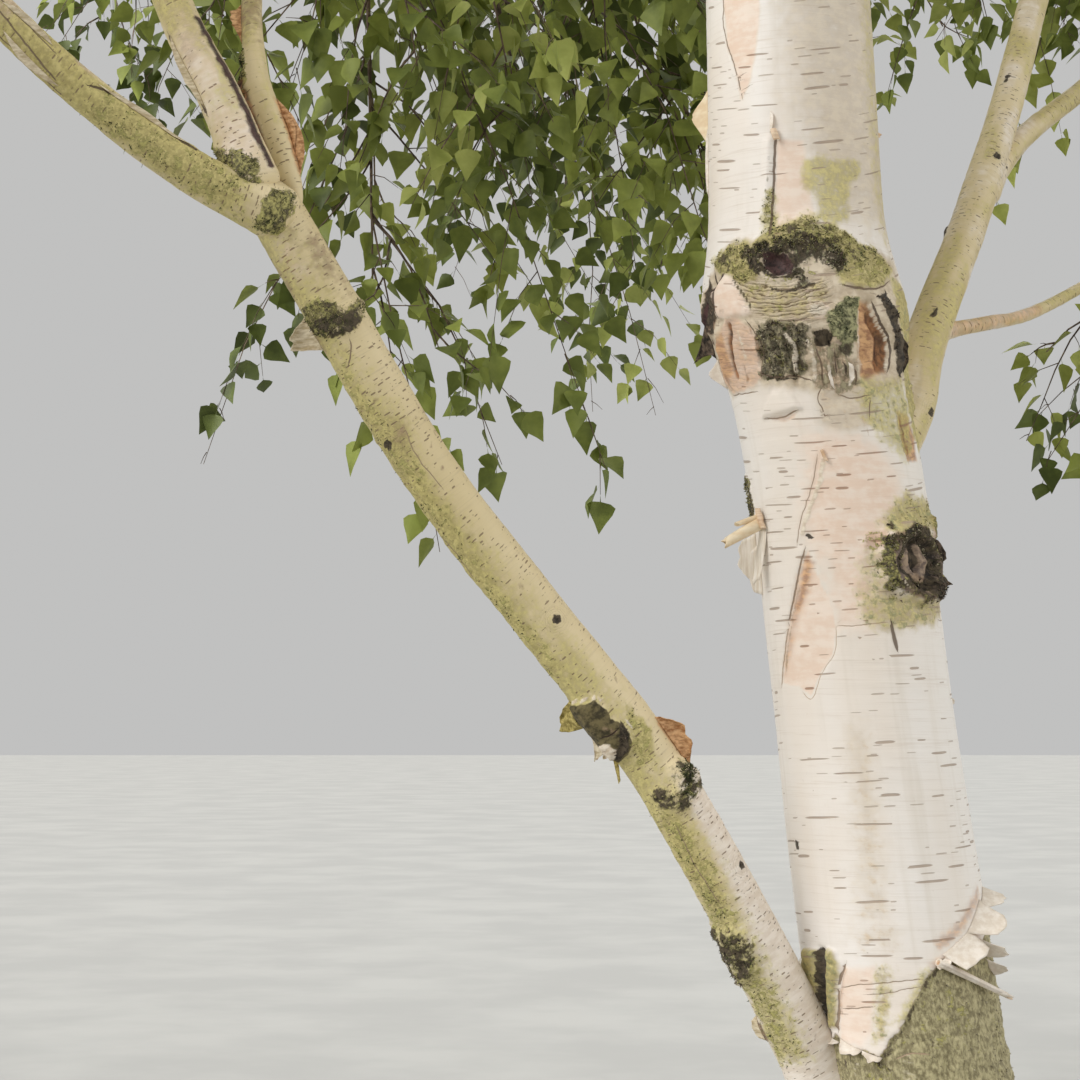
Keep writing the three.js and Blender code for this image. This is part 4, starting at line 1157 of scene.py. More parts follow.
def collarBark(stem):  # the thick ring where the bark has burst and healed
    knot(stem, *collarLook["scar"], 5, 2.5)
    lay(stem, "moss", 0.55 * patch(stem, *collarLook["scarMoss"], ragged=0.5, soft=0.7))
    lay(stem, "dark", 0.8 * patch(stem, *collarLook["scarDark"], ragged=0.5, soft=0.5))
    disc = patch(stem, *collarLook["scar"], ragged=0.5, soft=0.5)
    stem.paint["moss"] *= 1 - disc
    stem.paint["dark"] *= 1 - 0.8 * disc
    lay(stem, "plum", disc)
    lay(stem, "olive", 0.8 * (patch(stem, *collarLook["scarRing"], ragged=0.3, soft=0.3) - disc))
    foldsFrom = collarLook["foldsFrom"]
    rise = stem.along[:, None] - foldsFrom[0]
    right = np.radians(stem.turn - foldsFrom[1])[None] * stem.nominal
    skin = region(stem, trunkRegions["foldsSkin"][-1], 2, 8)
    foldIn(stem, skin, np.hypot(rise, right * 0.6) / collarLook["foldSpacing"])
    curl = region(stem, trunkRegions["curl"][-1], 2, 5)
    foldIn(stem, 0.2 * curl, rise / collarLook["curlSpacing"] + 0.04 * right)
    furrows(stem, patch(stem, *collarLook["rough"]), 4, (11, 11, 40))
    bumpy = region(stem, trunkRegions["collar"][-1], 4, 12)
    stem.relief += bumpy * 1.6 * roughNoise(stem.coords, 14, 3, seed=12)
    lifted = region(stem, collarLook["flap"], 0.5, 1.2)
    stem.relief += lifted * collarLook["flapLift"] * ease(*collarLook["flapEnds"], stem.along)[:, None]


rightKnotLook = {  # as in collarLook
    "knot": (998, 50, 31, 34),
    "shade": (998, 50, 50, 54),
    "bare": (998, 50, 22, 25),
    "ring": (998, 50, 43, 47),
    "rim": (998, 50, 50, 52),
    "tan": (977, 47, 11, 24),
    "hole": (1003, 48, 18, 8),
    "rough": (978, 49, 14, 26),
    "crust": (998, 50, 46, 48),
    "clean": (998, 50, 27, 28),
}


def rightKnot(stem):
    knot(stem, *rightKnotLook["knot"], 9, 10, plug=8)
    around = patch(stem, *rightKnotLook["shade"], ragged=0.25, soft=0.4)
    around = around - patch(stem, *rightKnotLook["bare"], ragged=0.2, soft=0.3)
    lay(stem, "dark", 0.54 * around)
    lay(stem, "moss", 0.5 * around)
    lay(stem, "brown", patch(stem, *rightKnotLook["ring"], ragged=0.1, soft=0.2))
    lay(stem, "tan", 0.75 * patch(stem, *rightKnotLook["tan"], ragged=0.3))
    lay(stem, "dark", patch(stem, *rightKnotLook["hole"], ragged=0.15, soft=0.25), -7)
    rim = patch(stem, *rightKnotLook["rim"], ragged=0.1, soft=0.5)
    stem.relief += rim * 2.2 * roughNoise(stem.coords, 10, 3, seed=13)
    furrows(stem, patch(stem, *rightKnotLook["rough"]), 1.6, (4, 4, 20))


footShade = {"below": 4, "width": 6, "middle": 10, "reach": 62}  # under the torn edge, in front
footGrains = {  # in millimetres
    "edge": 16,
    "dark": (24, 24, 70),
    "cream": (18, 18, 46),
    "green": (30, 30, 50),
    "fine": 9,
    "coarse": (30, 30, 60),
    "furrows": (36, 36, 130),
}


def footBark(stem):
    tall = stem.along[:, None]
    edge = np.interp(stem.turn, *zip(*footLine))[None]
    edge = edge + 5 * roughNoise(stem.coords, footGrains["edge"], 3, seed=7)
    foot = ease(-4, 4, edge - tall)
    lay(stem, "foot", foot)
    inFront = np.abs(stem.turn - footShade["middle"])[None] < footShade["reach"]
    below = np.exp(-(((tall - edge + footShade["below"]) / footShade["width"]) ** 2)) * inFront
    lay(stem, "brown", 0.9 * below)
    lay(stem, "dark", 0.5 * below)
    lay(stem, "dark", 0.36 * foot * ease(0.0, 0.9, roughNoise(stem.coords, footGrains["dark"], 3, seed=37)))
    lay(stem, "cream", 0.3 * foot * ease(0.2, 0.9, roughNoise(stem.coords, footGrains["cream"], 3, seed=38)))
    green = roughNoise(stem.coords, footGrains["green"], 3, seed=31)
    lay(stem, "moss", 0.4 * foot * ease(0.0, 0.9, green))
    lay(stem, "lichen", 0.45 * foot * ease(0.0, 0.8, -green))
    stem.relief += 1.5 * np.exp(-np.clip(tall - edge, 0, None) / 9) * (1 - foot) - 1.8 * foot
    fine = roughNoise(stem.coords, footGrains["fine"], 3, seed=11)
    stem.relief += foot * (1.6 * fine + roughNoise(stem.coords, footGrains["coarse"], 2))
    furrows(stem, foot * ease(30, 260, edge - tall), 6, footGrains["furrows"])


def crownMarks(stem):
    for bough in boughs:
        turn = (bough.bearing - faceBearing + 180) % 360 - 180
        size = bough.rootRadius
        height = bough.height + 1.1 * float(trunkRadius(bough.height))
        brow = height + size * brows["above"]
        mark = patch(stem, brow, turn, size * brows["tall"], size * brows["wide"], ragged=0.4)
        lay(stem, "dark", mark, -1.0)
        mark = patch(stem, height, turn, size * brows["roughTall"], size * brows["roughWide"], ragged=0.5)
        lay(stem, "rough", mark, 2.0)
    for seed, (turn, height) in enumerate(oldKnots):
        knot(stem, height, turn, 10 + seed % 3 * 3, 15 + seed % 4 * 3, 5, 4, folds=0.5)
        lay(stem, "moss", 0.8 * patch(stem, height + 14, turn, 9, 26, ragged=0.5), 1.5)
    tall = stem.along[:, None]
    lay(stem, "brown", 0.62 * ease(5200, 7600, tall + 500 * roughNoise(stem.coords, (60, 60, 300))))
    stem.relief *= ease(0, 60, trunkSize["top"] - tall) * mix(0.35, 1, ease(6500, 2000, tall))


def trunkBark():
    stem = trunkRings()
    stem.relief += 1.2 * roughNoise(stem.coords, (70, 70, 170), 2)
    stem.relief += 0.2 * roughNoise(stem.coords, (50, 50, 6), 3, seed=5)
    layRegions(stem, trunkRegions)
    for one in trunkCracks.values():
        crack(stem, *one)
    for one in trunkRidges.values():
        ridge(stem, *one)
    collarBark(stem)
    rightKnot(stem)
    footBark(stem)
    for one in trunkStreaks.values():
        streak(stem, *one)
    crownMarks(stem)
    return settle(stem)


trunkStem = trunkBark()
lastSeen = int(np.searchsorted(trunkStem.along, trunkGrid["viewEnd"]))
trunkParts = {"trunk_bark": slice(0, lastSeen + 1), "trunk_bark_crown": slice(lastSeen, None)}
for name, rows in trunkParts.items():
    mesh = barkMesh(trunkStem, name, rows, trunkGrid["dashBow"])
    addPiece(name, mesh, [whiteBark], ["trunk"])
print("3. trunk made")


# The limbs' bark

limbDetail = {  # sides, ring spacing, and the swelling at the root: share, and where it fades out
    "low_stem": (72, 3.4, 0.30, 190),
    "low_stem_left_limb": (48, 3.8, 0.30, 60),
    "low_stem_upper_limb": (48, 4.2, 0.25, 60),
    "low_stem_side_limb": (40, 4.0, 0.0, 90),
    "right_bough": (52, 4.5, 0.30, 150),
    "right_bough_upper_limb": (32, 5.0, 0.45, 40),
    "right_bough_lower_limb": (28, 5.0, 0.60, 30),
}
boughDetail = (20, 15, 0.45, 120)
limbRegions = {  # as the trunk's regions, with distance along the limb in place of height
    "low_stem": {
        "collar": ({"moss": 0.7, "dark": 0.4}, 3, 3, 4, [(1158, -65), (1162, -30), (1158, -10), (1150, 12),
            (1137, 30), (1140, 60), (1137, 95), (1118, 54), (1114, 12), (1118, -20), (1122, -40),
            (1130, -70)]),
        "collarShade": ({"dark": 0.62, "moss": 0.6}, 0, 2, 3, [(1146, -50), (1142, -10), (1134, 20),
            (1130, 50), (1116, 54), (1112, 12), (1116, -20), (1120, -44)]),
        "stubShell": ({"olive": 1}, 7, 1, 2, [(681, -72), (676, -40), (673, -14), (661, -4), (649, -10),
            (633, 2), (616, -4), (607, -25), (603, -55), (620, -78), (645, -84), (665, -90)]),
        "stubShade": ({"dark": 0.9}, -3, 1, 3, [(640, 0), (624, 2), (610, -20), (604, -50), (612, -56),
            (618, -30), (628, -16)]),
        "stubHighlight": ({"tan": 0.45}, 1, 2, 4, [(664, -62), (660, -40), (646, -34), (640, -52),
            (650, -66)]),
        "stubWhite": ({"cream": 1}, 2, 1, 1.5, [(630, -66), (628, -40), (616, -36), (608, -58),
            (614, -76)]),
        "lichen": ({"algae": 1, "moss": 0.4}, 1.5, 2, 3, [(684, -80), (680, -108), (652, -112), (650, -84),
            (668, -78)]),
        "greenByTheStub": ({"algae": 1, "moss": 0.35}, 0, 3, 6, [(620, 0), (640, 8), (650, 30), (610, 40),
            (585, 10), (590, -30)]),
        "mossBall": ({"moss": 0.45, "dark": 0.5, "lichen": 0.42}, 9, 2, 5, [(574, 26), (572, 60), (548, 80),
            (534, 60), (532, 26), (548, 8)]),
        "mossBallShade": ({"dark": 0.6, "moss": 0.45}, 3, 3, 6, [(560, -38), (560, -8), (546, 10),
            (534, 30), (522, 26), (528, -8), (540, -34)]),
        "lowKnot": ({"moss": 0.52, "dark": 0.6}, 6, 4, 8, [(400, -60), (393, -20), (385, 0), (363, 2),
            (341, -30), (328, -60), (335, -110), (370, -120), (395, -100)]),
        "knotFirstHole": ({"dark": 1}, -6, 1, 2, [(382, -88), (382, -70), (368, -70), (368, -92)]),
        "knotSecondHole": ({"dark": 1}, -6, 1, 2, [(356, -92), (356, -66), (338, -66), (338, -92)]),
        "knotThirdHole": ({"dark": 1}, -5, 1, 2, [(361, -40), (361, -28), (350, -26), (350, -42)]),
        "scar": ({"brown": 1}, 2, 1.5, 3, [(288, -84), (286, -66), (262, -66), (264, -86)]),
        "forkMoss": ({"moss": 0.7, "dark": 0.35}, 3, 4, 8, [(1334, -62), (1330, -40), (1314, -26),
            (1300, -44), (1302, -70)]),
        "pinkSide": ({"peach": 0.6}, 0, 6, 20, [(1330, -70), (1330, 15), (1180, 15), (1180, -70)]),
        "paleSide": ({"chalk": 1}, 0, 5, 12, [(560, 22), (560, 100), (200, 100), (200, 0)]),
        "mottles": ({"algae": 1, "moss": 0.42}, 0, 5, 18, [(540, -70), (530, 6), (240, 0), (240, -70)]),
        "flakeSeat": ({"ochre": 0.9}, 0, 1, 3, [(612, 66), (608, 104), (562, 104), (564, 74)]),
        "upperGreen": ({"algae": 0.9, "moss": 0.28}, 0, 5, 14, [(700, -80), (1090, -80), (1090, -20),
            (900, 0), (720, -20)]),
        "forkGreen": ({"algae": 1}, 0, 4, 10, [(1340, -90), (1330, 10), (1250, -20), (1240, -90)]),
    },
    "low_stem_left_limb": {
        "green": ({"algae": 1}, 0.5, 3, 8, [(204, 25), (214, 60), (190, 100), (120, 110), (90, 70),
            (90, 10), (120, -30), (179, -50), (208, -10)]),
        "mottles": ({"algae": 1, "moss": 0.40}, 0, 5, 16, [(60, -60), (60, 60), (230, 60), (230, -60)]),
        "peelingEnd": ({"tan": 0.7}, 0.6, 4, 8, [(240, -90), (250, 0), (240, 90), (420, 90), (420, -90)]),
        "rootMoss": ({"moss": 0.9}, 3, 3, 5, [(40, -60), (44, 40), (14, 60), (10, -60)]),
    },
    "low_stem_upper_limb": {
        "pinkSide": ({"peach": 0.45, "chalk": 0.5}, 0, 6, 20, [(20, -60), (20, 70), (180, 70), (180, -60)]),
        "tanSide": ({"tan": 0.55}, 0, 5, 10, [(150, -40), (320, -60), (330, 60), (150, 60)]),
        "rootMoss": ({"moss": 0.75, "dark": 0.35}, 3, 3, 6, [(70, -80), (52, -10), (34, 40), (6, 40),
            (6, -80)]),
        "darkBit": ({"dark": 0.9}, -1, 1, 2, [(304, 10), (306, 40), (292, 38), (292, 12)]),
    },
    "low_stem_side_limb": {
        "knot": ({"moss": 1}, 4, 2, 3, [(186, -100), (186, -50), (160, -40), (138, -60), (138, -110)]),
        "knotHole": ({"dark": 1}, -2, 2, 2, [(170, -95), (168, -62), (146, -60), (144, -95)]),
        "seam": ({"dark": 0.9, "brown": 1}, -1, 1.5, 3, [(142, -130), (142, -100), (44, -96), (40, -130)]),
        "shredSeat": ({"ochre": 0.9}, 0, 2, 4, [(120, 60), (120, 100), (30, 100), (36, 60)]),
        "beyondTheKnot": ({"brown": 0.55}, 0, 12, 50, [(196, -200), (196, 200), (600, 200), (600, -200)]),
    },
    "right_bough": {
        "firstKnot": ({"dark": 1}, 2, 1, 2, [(658, -30), (658, -16), (642, -16), (642, -30)]),
        "secondKnot": ({"dark": 0.9}, 2, 1, 2, [(404, -88), (404, -70), (390, -70), (390, -90)]),
        "thirdKnot": ({"dark": 0.9}, 1, 1, 2, [(268, -8), (268, 6), (256, 6), (256, -8)]),
    },
    "right_bough_upper_limb": {"scar": ({"dark": 0.9}, 1, 1, 2, [(64, 20), (64, 40), (56, 40), (56, 20)])},
    "right_bough_lower_limb": {
        "warmSide": ({"ochre": 0.5}, 0, 3, 6, [(20, -60), (20, 60), (200, 60), (200, -60)]),
    },
}
limbCracks = {
    "low_stem": {
        "underTheCollar": (0.9, 0.6, 0.8, 0.6, 6, [(1083, -30), (1099, -1), (1112, 8)]),
        "stubMiddle": (1.2, 1.0, 1.5, 0.0, 4, [(638, 0), (634, -24), (638, -52)]),
        "forkScar": (1.3, 0.8, 1.0, 0.8, 5, [(1236, -58), (1250, -46), (1264, -36)]),
        "forkSmallScar": (1.0, 0.7, 0.8, 0.5, 5, [(1240, -34), (1256, -26)]),
        "longPeel": (0.6, 0.4, 0.4, 0.9, 8, [(420, -20), (470, -28), (520, -22)]),
        "sidePeel": (0.7, 0.5, 0.5, 1.0, 6, [(840, -70), (868, -62), (900, -66)]),
        "upperPeel": (0.6, 0.4, 0.4, 0.8, 6, [(930, 10), (975, 2), (1010, 12)]),
    },
    "low_stem_left_limb": {
        "flake": (1.6, 0.9, 1.4, 2.2, 7, [(246, 17), (222, 50), (196, 66), (160, 72), (115, 70)]),
        "endFirstCrack": (1.0, 0.7, 0.8, 1.2, 6, [(262, -30), (300, -12), (345, 8), (390, 0)]),
        "endSecondCrack": (0.9, 0.7, 0.8, 1.0, 6, [(280, 30), (320, 40), (372, 36)]),
        "endThirdCrack": (0.8, 0.7, 0.8, 1.0, 6, [(250, -60), (300, -50), (350, -60)]),
    },
    "low_stem_upper_limb": {"slit": (2.0, 0.9, 2.5, 2.0, 7, [(92, -54), (122, -55), (153, -56), (196, -50)])},
}
limbStreaks = {  # as the trunk's streaks
    "low_stem": {
        "stubLip": ("cream", 1, 1.6, 2.0, [(684, -74), (680, -40), (676, -12), (664, 2)]),
        "stubEdge": ("cream", 0.6, 1.2, 1.0, [(650, -2), (634, 10), (614, 4)]),
    },
    "low_stem_upper_limb": {"seamEdge": ("plum", 0.8, 7.0, 0.0, [(20, 62), (80, 64), (200, 68)])},
    "low_stem_side_limb": {
        "seamRidge": ("sienna", 0.9, 11.0, 11.0, [(24, -112), (90, -108), (160, -106)]),
        "seamEdge": ("sienna", 1, 4.0, 0.0, [(20, -62), (80, -66), (180, -72)]),
    },
}
limbKnots = {"low_stem": [(446, 60), (760, 30), (1000, -40)], "low_stem_upper_limb": [(420, 80)],
             "right_bough": [(150, 60), (520, 20), (900, -60)]}


limbSteps = 400  # along a limb's curve, to measure its length
freeEnd = 90  # a limb without a swelling at its root is rounded there over this length


def rounded(along, size):  # from 0 to 1 within a size of an end, as half a ball does
    near = np.clip(1 - along / size, 0, 1)
    return np.sqrt(np.clip(1 - near**2, 0.0016, 1))


def limbRings(limb, sides, spacing, swell, fades):
    many = limb.curve(np.linspace(0, 1, limbSteps))
    run = np.concatenate([[0], np.cumsum(np.linalg.norm(np.diff(many, axis=0), axis=1))])
    along = np.linspace(0, run[-1], max(8, round(run[-1] / spacing)))
    share = np.interp(along, run, np.linspace(0, 1, limbSteps))
    radius = mix(limb.rootRadius, limb.tipRadius, share) * (1 + swell * np.exp(-((along / fades) ** 2)))
    radius *= rounded(along, limb.rootRadius if swell else freeEnd)
    if limb.name == "low_stem":  # its end is round, inside the roots of the limbs that it carries
        radius *= rounded(run[-1] - along, limb.tipRadius * 2)
    return barkGrid(f"{limb.name}_bark", limb.curve(share), along, radius, np.linspace(-180, 180, sides + 1))


def limbBarkOf(limb, detail):
    stem = limbRings(limb, *detail)
    spots = stem.coords
    stem.relief += 0.045 * stem.nominal * roughNoise(spots, (40, 40, 90), 2, seed=2)
    stem.relief += 0.35 * roughNoise(spots, (16, 16, 7), 3, seed=6)
    layRegions(stem, limbRegions.get(limb.name, {}), grain=6)
    for one in limbCracks.get(limb.name, {}).values():
        crack(stem, *one)
    for one in limbStreaks.get(limb.name, {}).values():
        streak(stem, *one)
    for along, turn in limbKnots.get(limb.name, []):
        knot(stem, along, turn, 5, 6, 2, 1.5, folds=0.5, spacing=3, reach=6)
    return stem


def addLimb(stem, nodes):
    ends = np.minimum(stem.along, stem.along[-1] - stem.along)
    stem.relief *= ease(0, 25, ends)[:, None]
    settle(stem)
    return addPiece(stem.name, barkMesh(stem, stem.name), [limbBark], nodes)


limbGrowth = {  # grains round and along, in millimetres
    "green": (22, 22, 60),
    "patches": (24, 24, 80),
    "blotches": (18, 18, 12),
    "flecks": (7, 7, 5),
    "greenSide": (-78, -90),  # the low stem's, and its limbs', greenest turn
}
limbStems = {}
for limb in limbs.values():
    stem = limbBarkOf(limb, limbDetail[limb.name])
    green = roughNoise(stem.coords, limbGrowth["green"], 3, seed=14)
    reach = (stem.along / stem.along[-1])[:, None]
    if limb.name == "low_stem":
        shade = np.cos(np.radians(stem.turn - limbGrowth["greenSide"][0]))[None]
        lay(stem, "algae", 0.9 * ease(-0.9, 1.2, shade + 0.5 * green) * ease(240, 560, stem.along[:, None]))
        lay(stem, "chalk", ease(520, 260, stem.along + 60 * green[:, 0])[:, None])
        lay(stem, "brown", 0.5 * ease(0.4, 1.2, roughNoise(stem.coords, limbGrowth["flecks"], 3, seed=33)))
    elif limb.name.startswith("low_stem"):
        most = 0.95 if "left" in limb.name else 0.65
        shade = np.cos(np.radians(stem.turn - limbGrowth["greenSide"][1]))[None]
        lay(stem, "algae", most * ease(-0.5, 0.8, green + 0.25 * shade))
    else:
        lay(stem, "algae", 0.6 * ease(-0.2, 0.9, green))
        lay(stem, "chalk", 0.55 * ease(-0.6, 0.6, -green))
    lay(stem, "brown", 0.6 * ease(0.6, 1.3, reach + 0.3 * green))
    addLimb(stem, [limb.name])
    limbStems[limb.name] = stem
for bough in boughs:
    stem = limbBarkOf(bough, boughDetail)
    patches = roughNoise(stem.coords, limbGrowth["patches"], 3, seed=15)
    reach = (stem.along / stem.along[-1])[:, None]
    lay(stem, "brown", ease(0.45, 1.25, reach + bough.share * 0.5 + 0.5 * patches))
    lay(stem, "algae", 0.5 * ease(0.4, 1.0, patches))
    lay(stem, "dark", 0.8 * ease(0.6, 1.1, roughNoise(stem.coords, limbGrowth["blotches"], 2, seed=4)))
    addLimb(stem, [bough.name])
print("4. limbs made")


# Paper that peels off. Each flap is held along a line on the bark and curls away from it.

flapLook = {
    "thickness": 0.7,
    "steps": 12,
    "smallSteps": 6,
    "smallReach": 8,  # a flap that reaches no further has the smaller steps
    "quillSteps": 26,
    "offBark": 0.35,
    "flutter": 0.06,  # of its reach
    "ragged": 0.5,
}
# Two ends of the line that holds it, the way it points in degrees (0 to the right, 90 up the stem), its
# reach, its first lift and its curl in degrees, and how ragged and how pointed it is
trunkFlaps = {
    "slitCurl": ((1453, -11), (1441, -9), 8, 13, 14, 210, 0.1, 0.0),
    "slitTip": ((1474, -13), (1450, -14), 4, 6, 12, 60, 0.3, 0.6),
    "leftThread": ((1478, -84), (1400, -80), 180, 4, 30, 30, 0.6, 0.2),
    "collarLeft": ((1222, -80), (1190, -82), 184, 17, 50, 25, 0.3, 0.8),
    "clusterCurl": ((1058, -62), (1036, -58), 175, 16, 50, 220, 0.2, 0.0),
    "footA": ((598, 27), (622, 52), -52, 30, 24, 30, 0.12, 0.2),
    "footB": ((618, 48), (650, 68), -30, 34, 34, 40, 0.12, 0.45),
    "footC": ((640, 66), (662, 80), -8, 24, 44, 40, 0.15, 0.6),
    "footD": ((612, 58), (592, 66), -30, 28, 44, 50, 0.15, 0.5),
    "footE": ((590, 66), (572, 72), -26, 20, 46, 60, 0.2, 0.7),
    "footF": ((586, 22), (600, 32), -80, 9, 14, 50, 0.5, 0.2),
    "peelCurl": ((1114, -6), (1100, -4), 10, 9, 30, 150, 0.3, 0.2),
    "fringeA": ((510, -44), (500, -30), -92, 13, 22, 50, 0.8, 0.2),
    "fringeB": ((500, -30), (494, -18), -92, 11, 26, 70, 0.8, 0.2),
    "fringeC": ((512, -62), (506, -46), -92, 8, 25, 60, 0.8, 0.0),
    "gapA": ((1196, 9), (1176, 9), 176, 5, 22, 30, 0.5, 0.3),
    "gapB": ((1204, 20), (1182, 20), 4, 5, 22, 30, 0.5, 0.3),
}
yellowFlaps = {"leftCurl": ((1524, -90), (1462, -92), 162, 22, 40, 30, 0.12, 0.75)}
hungFlaps = {
    "stripA": ((1034, -78), (982, -82), 214, 20, 66, 16, 0.35, 0.2),
    "stripB": ((1040, -66), (1036, -56), -90, 62, 4, 10, 0.3, 0.4),
    "stripC": ((1022, -74), (968, -76), 220, 13, 50, 30, 0.5, 0.2),
}
darkFlaps = {
    "leftBlade": ((1262, -80), (1224, -83), 224, 30, 24, 12, 0.5, 0.9),
    "rightBlade": ((1240, 64), (1200, 67), -10, 7, 48, 20, 0.6, 0.4),
    "knotSpike": ((992, 80), (974, 84), -18, 19, 34, 10, 0.4, 0.9),
    "knotLip": ((1026, 66), (1000, 76), 10, 8, 50, 20, 0.6, 0.3),
}
limbFlaps = {
    "low_stem": {
        "collarCurl": ((1150, -74), (1112, -80), 184, 26, 34, 80, 0.55, 0.3),
        "stubShardA": ((640, -80), (618, -76), -128, 22, 25, 20, 0.5, 0.85),
        "stubShardB": ((626, -88), (606, -86), -150, 14, 30, 40, 0.6, 0.8),
        "scarShred": ((292, -80), (264, -76), 180, 9, 30, 60, 0.5, 0.3),
    },
    "low_stem_left_limb": {
        "endA": ((262, -36), (332, -24), 190, 8, 16, 30, 0.6, 0.3),
        "endB": ((290, 44), (350, 34), 0, 7, 18, 40, 0.6, 0.3),
        "flake": ((236, 44), (130, 74), 10, 5, 30, 30, 0.7, 0.2),
    },
    "low_stem_upper_limb": {"slitLip": ((104, -50), (190, -46), 184, 7, 30, 60, 0.5, 0.4)},
}
lichenFlaps = {
    "low_stem": {
        "lichenShred": ((684, -78), (650, -86), 188, 32, 16, 30, 0.6, 0.15),
        "stubSpike": ((612, -84), (600, -76), -72, 26, 22, 8, 0.3, 0.9),
    },
}
rustFlaps = {
    "low_stem": {
        "orangeFlake": ((618, 74), (564, 76), 4, 19, 36, 95, 0.6, 0.15),
        "orangeUnderFlake": ((600, 76), (556, 80), -25, 12, 40, 30, 0.7, 0.5),
    },
    "low_stem_side_limb": {
        "shredA": ((34, 92), (122, 88), 180, 12, 62, 40, 0.8, 0.3),
        "shredB": ((196, -60), (250, -60), 90, 20, 20, 60, 0.8, 0.6),
        "shredC": ((60, 84), (104, 80), 200, 8, 50, 60, 0.9, 0.3),
    },
}


def addFlap(bm, stem, start, end, points, reach, lift, curl, ragged, pointed, seed):
    steps = flapLook["steps"] if reach > flapLook["smallReach"] else flapLook["smallSteps"]
    angle = math.radians(points)
    ends, outs, rights, aheads = surfaceAt(stem, np.array([start[0], end[0]]), np.array([start[1], end[1]]))
    way = rights[0] * math.cos(angle) + aheads[0] * math.sin(angle)
    if np.cross(ends[1] - ends[0], way) @ outs[0] < 0:  # the paper's first face is its outer one
        start, end = end, start
    grid = bmesh.ops.create_grid(bm, x_segments=steps, y_segments=steps, size=0.5)["verts"]
    share = np.array([[v.co.x + 0.5, v.co.y + 0.5] for v in grid])
    level = share[:, 0] * 0
    wave = softNoise(np.stack([share[:, 0] * 5, level, level], -1), 1, seed)
    held = 0.5 + (share[:, 0] - 0.5) * (1 - pointed * share[:, 1])
    place, out, right, ahead = surfaceAt(stem, mix(start[0], end[0], held), mix(start[1], end[1], held))
    away = right * math.cos(angle) + ahead * math.sin(angle)
    rim = np.sin(math.pi * np.clip(share[:, 0], 0.04, 0.96)) ** 0.5
    run = share[:, 1] * reach * (mix(1, rim, min(1, ragged)) + ragged * flapLook["ragged"] * wave)
    bend = math.radians(curl) * share[:, 1] + 1e-4
    first = math.radians(lift)
    along = run * (np.sin(first + bend) - math.sin(first)) / bend
    height = run * (math.cos(first) - np.cos(first + bend)) / bend
    waves = np.stack([share[:, 0] * 4, share[:, 1] * 2, level], -1)
    flutter = flapLook["flutter"] * reach * softNoise(waves, 1, seed + 5)
    off = flapLook["offBark"] + height + flutter * share[:, 1]
    spots = place + out * off[:, None] + away * along[:, None]
    for vert, spot in zip(grid, spots):
        vert.co = spot * metre


def addQuill(bm, start, end, radius, turns, seed):  # a sheet rolled up into a tube
    grid = bmesh.ops.create_grid(bm, x_segments=8, y_segments=flapLook["quillSteps"], size=0.5)["verts"]
    share = np.array([[v.co.x + 0.5, v.co.y + 0.5] for v in grid])
    way = unit(end - start)
    side = unit(np.cross(way, nearlyUp))
    over = np.cross(side, way)
    angle = (share[:, 1] * turns + 0.1 * seed) * 2 * math.pi
    uneven = softNoise(np.stack([share[:, 1] * 6, share[:, 1] * 0, share[:, 0] * 0], -1), 1, seed)
    size = radius * (1 - 0.4 * share[:, 1]) * (1 - 0.3 * share[:, 0])
    run = share[:, 0] * np.linalg.norm(end - start) * (1 + 0.12 * uneven)
    ring = side * np.cos(angle)[:, None] + over * np.sin(angle)[:, None]
    for vert, spot in zip(grid, start + way * run[:, None] + ring * size[:, None]):
        vert.co = spot * metre


def placeOff(stem, along, turn, off):  # a place some way off the bark
    place, out, _, _ = surfaceAt(stem, np.array([along]), np.array([turn]))
    return place[0] + out[0] * off


def flapPiece(name, flaps, quills, papers):
    bm = bmesh.new()
    for seed, (stem, flap) in enumerate(flaps):
        addFlap(bm, stem, *flap, seed)
    for seed, quill in enumerate(quills):
        addQuill(bm, *quill, seed)
    mesh = bpy.data.meshes.new(name)
    bm.to_mesh(mesh)
    bm.free()
    piece = addPiece(name, mesh, [skins[paper] for paper in papers])
    shell = piece.modifiers.new("thickness", "SOLIDIFY")
    shell.thickness = flapLook["thickness"] * metre
    shell.offset = 0
    shell.material_offset = 1
    return piece


shredLook = {
    "count": 110,
    "seed": 40,
    "heights": (640, 3200),
    "behind": (95, 265),  # turns, away from the side that faces the camera
    "length": (4, 26),
    "slant": 3,
    "points": 25,  # degrees to either hand of level
    "reach": (2.5, 9),
    "lift": (5, 45),
    "curl": (20, 260),
    "ragged": 0.5,
    "pointed": 0.2,
}


def looseShreds(look):
    draws = np.random.default_rng(look["seed"])
    slant, points = look["slant"], look["points"]
    shreds = []
    for _ in range(look["count"]):
        along = draws.uniform(*look["heights"])
        turn = draws.uniform(*look["behind"]) if along < trunkGrid["viewEnd"] else draws.uniform(-180, 180)
        ends = (along, turn), (along + draws.uniform(*look["length"]), turn + draws.uniform(-slant, slant))
        way = draws.choice([0, 180]) + draws.uniform(-points, points)
        curls = draws.uniform(*look["lift"]), draws.uniform(*look["curl"])
        reach = draws.uniform(*look["reach"])
        shreds.append((*ends, way, reach, *curls, look["ragged"], look["pointed"]))
    return shreds


def onLimbs(flaps):
    return [(limbStems[limb], flap) for limb, ones in flaps.items() for flap in ones.values()]


def onTrunk(flaps):
    return [(trunkStem, flap) for flap in flaps.values()]


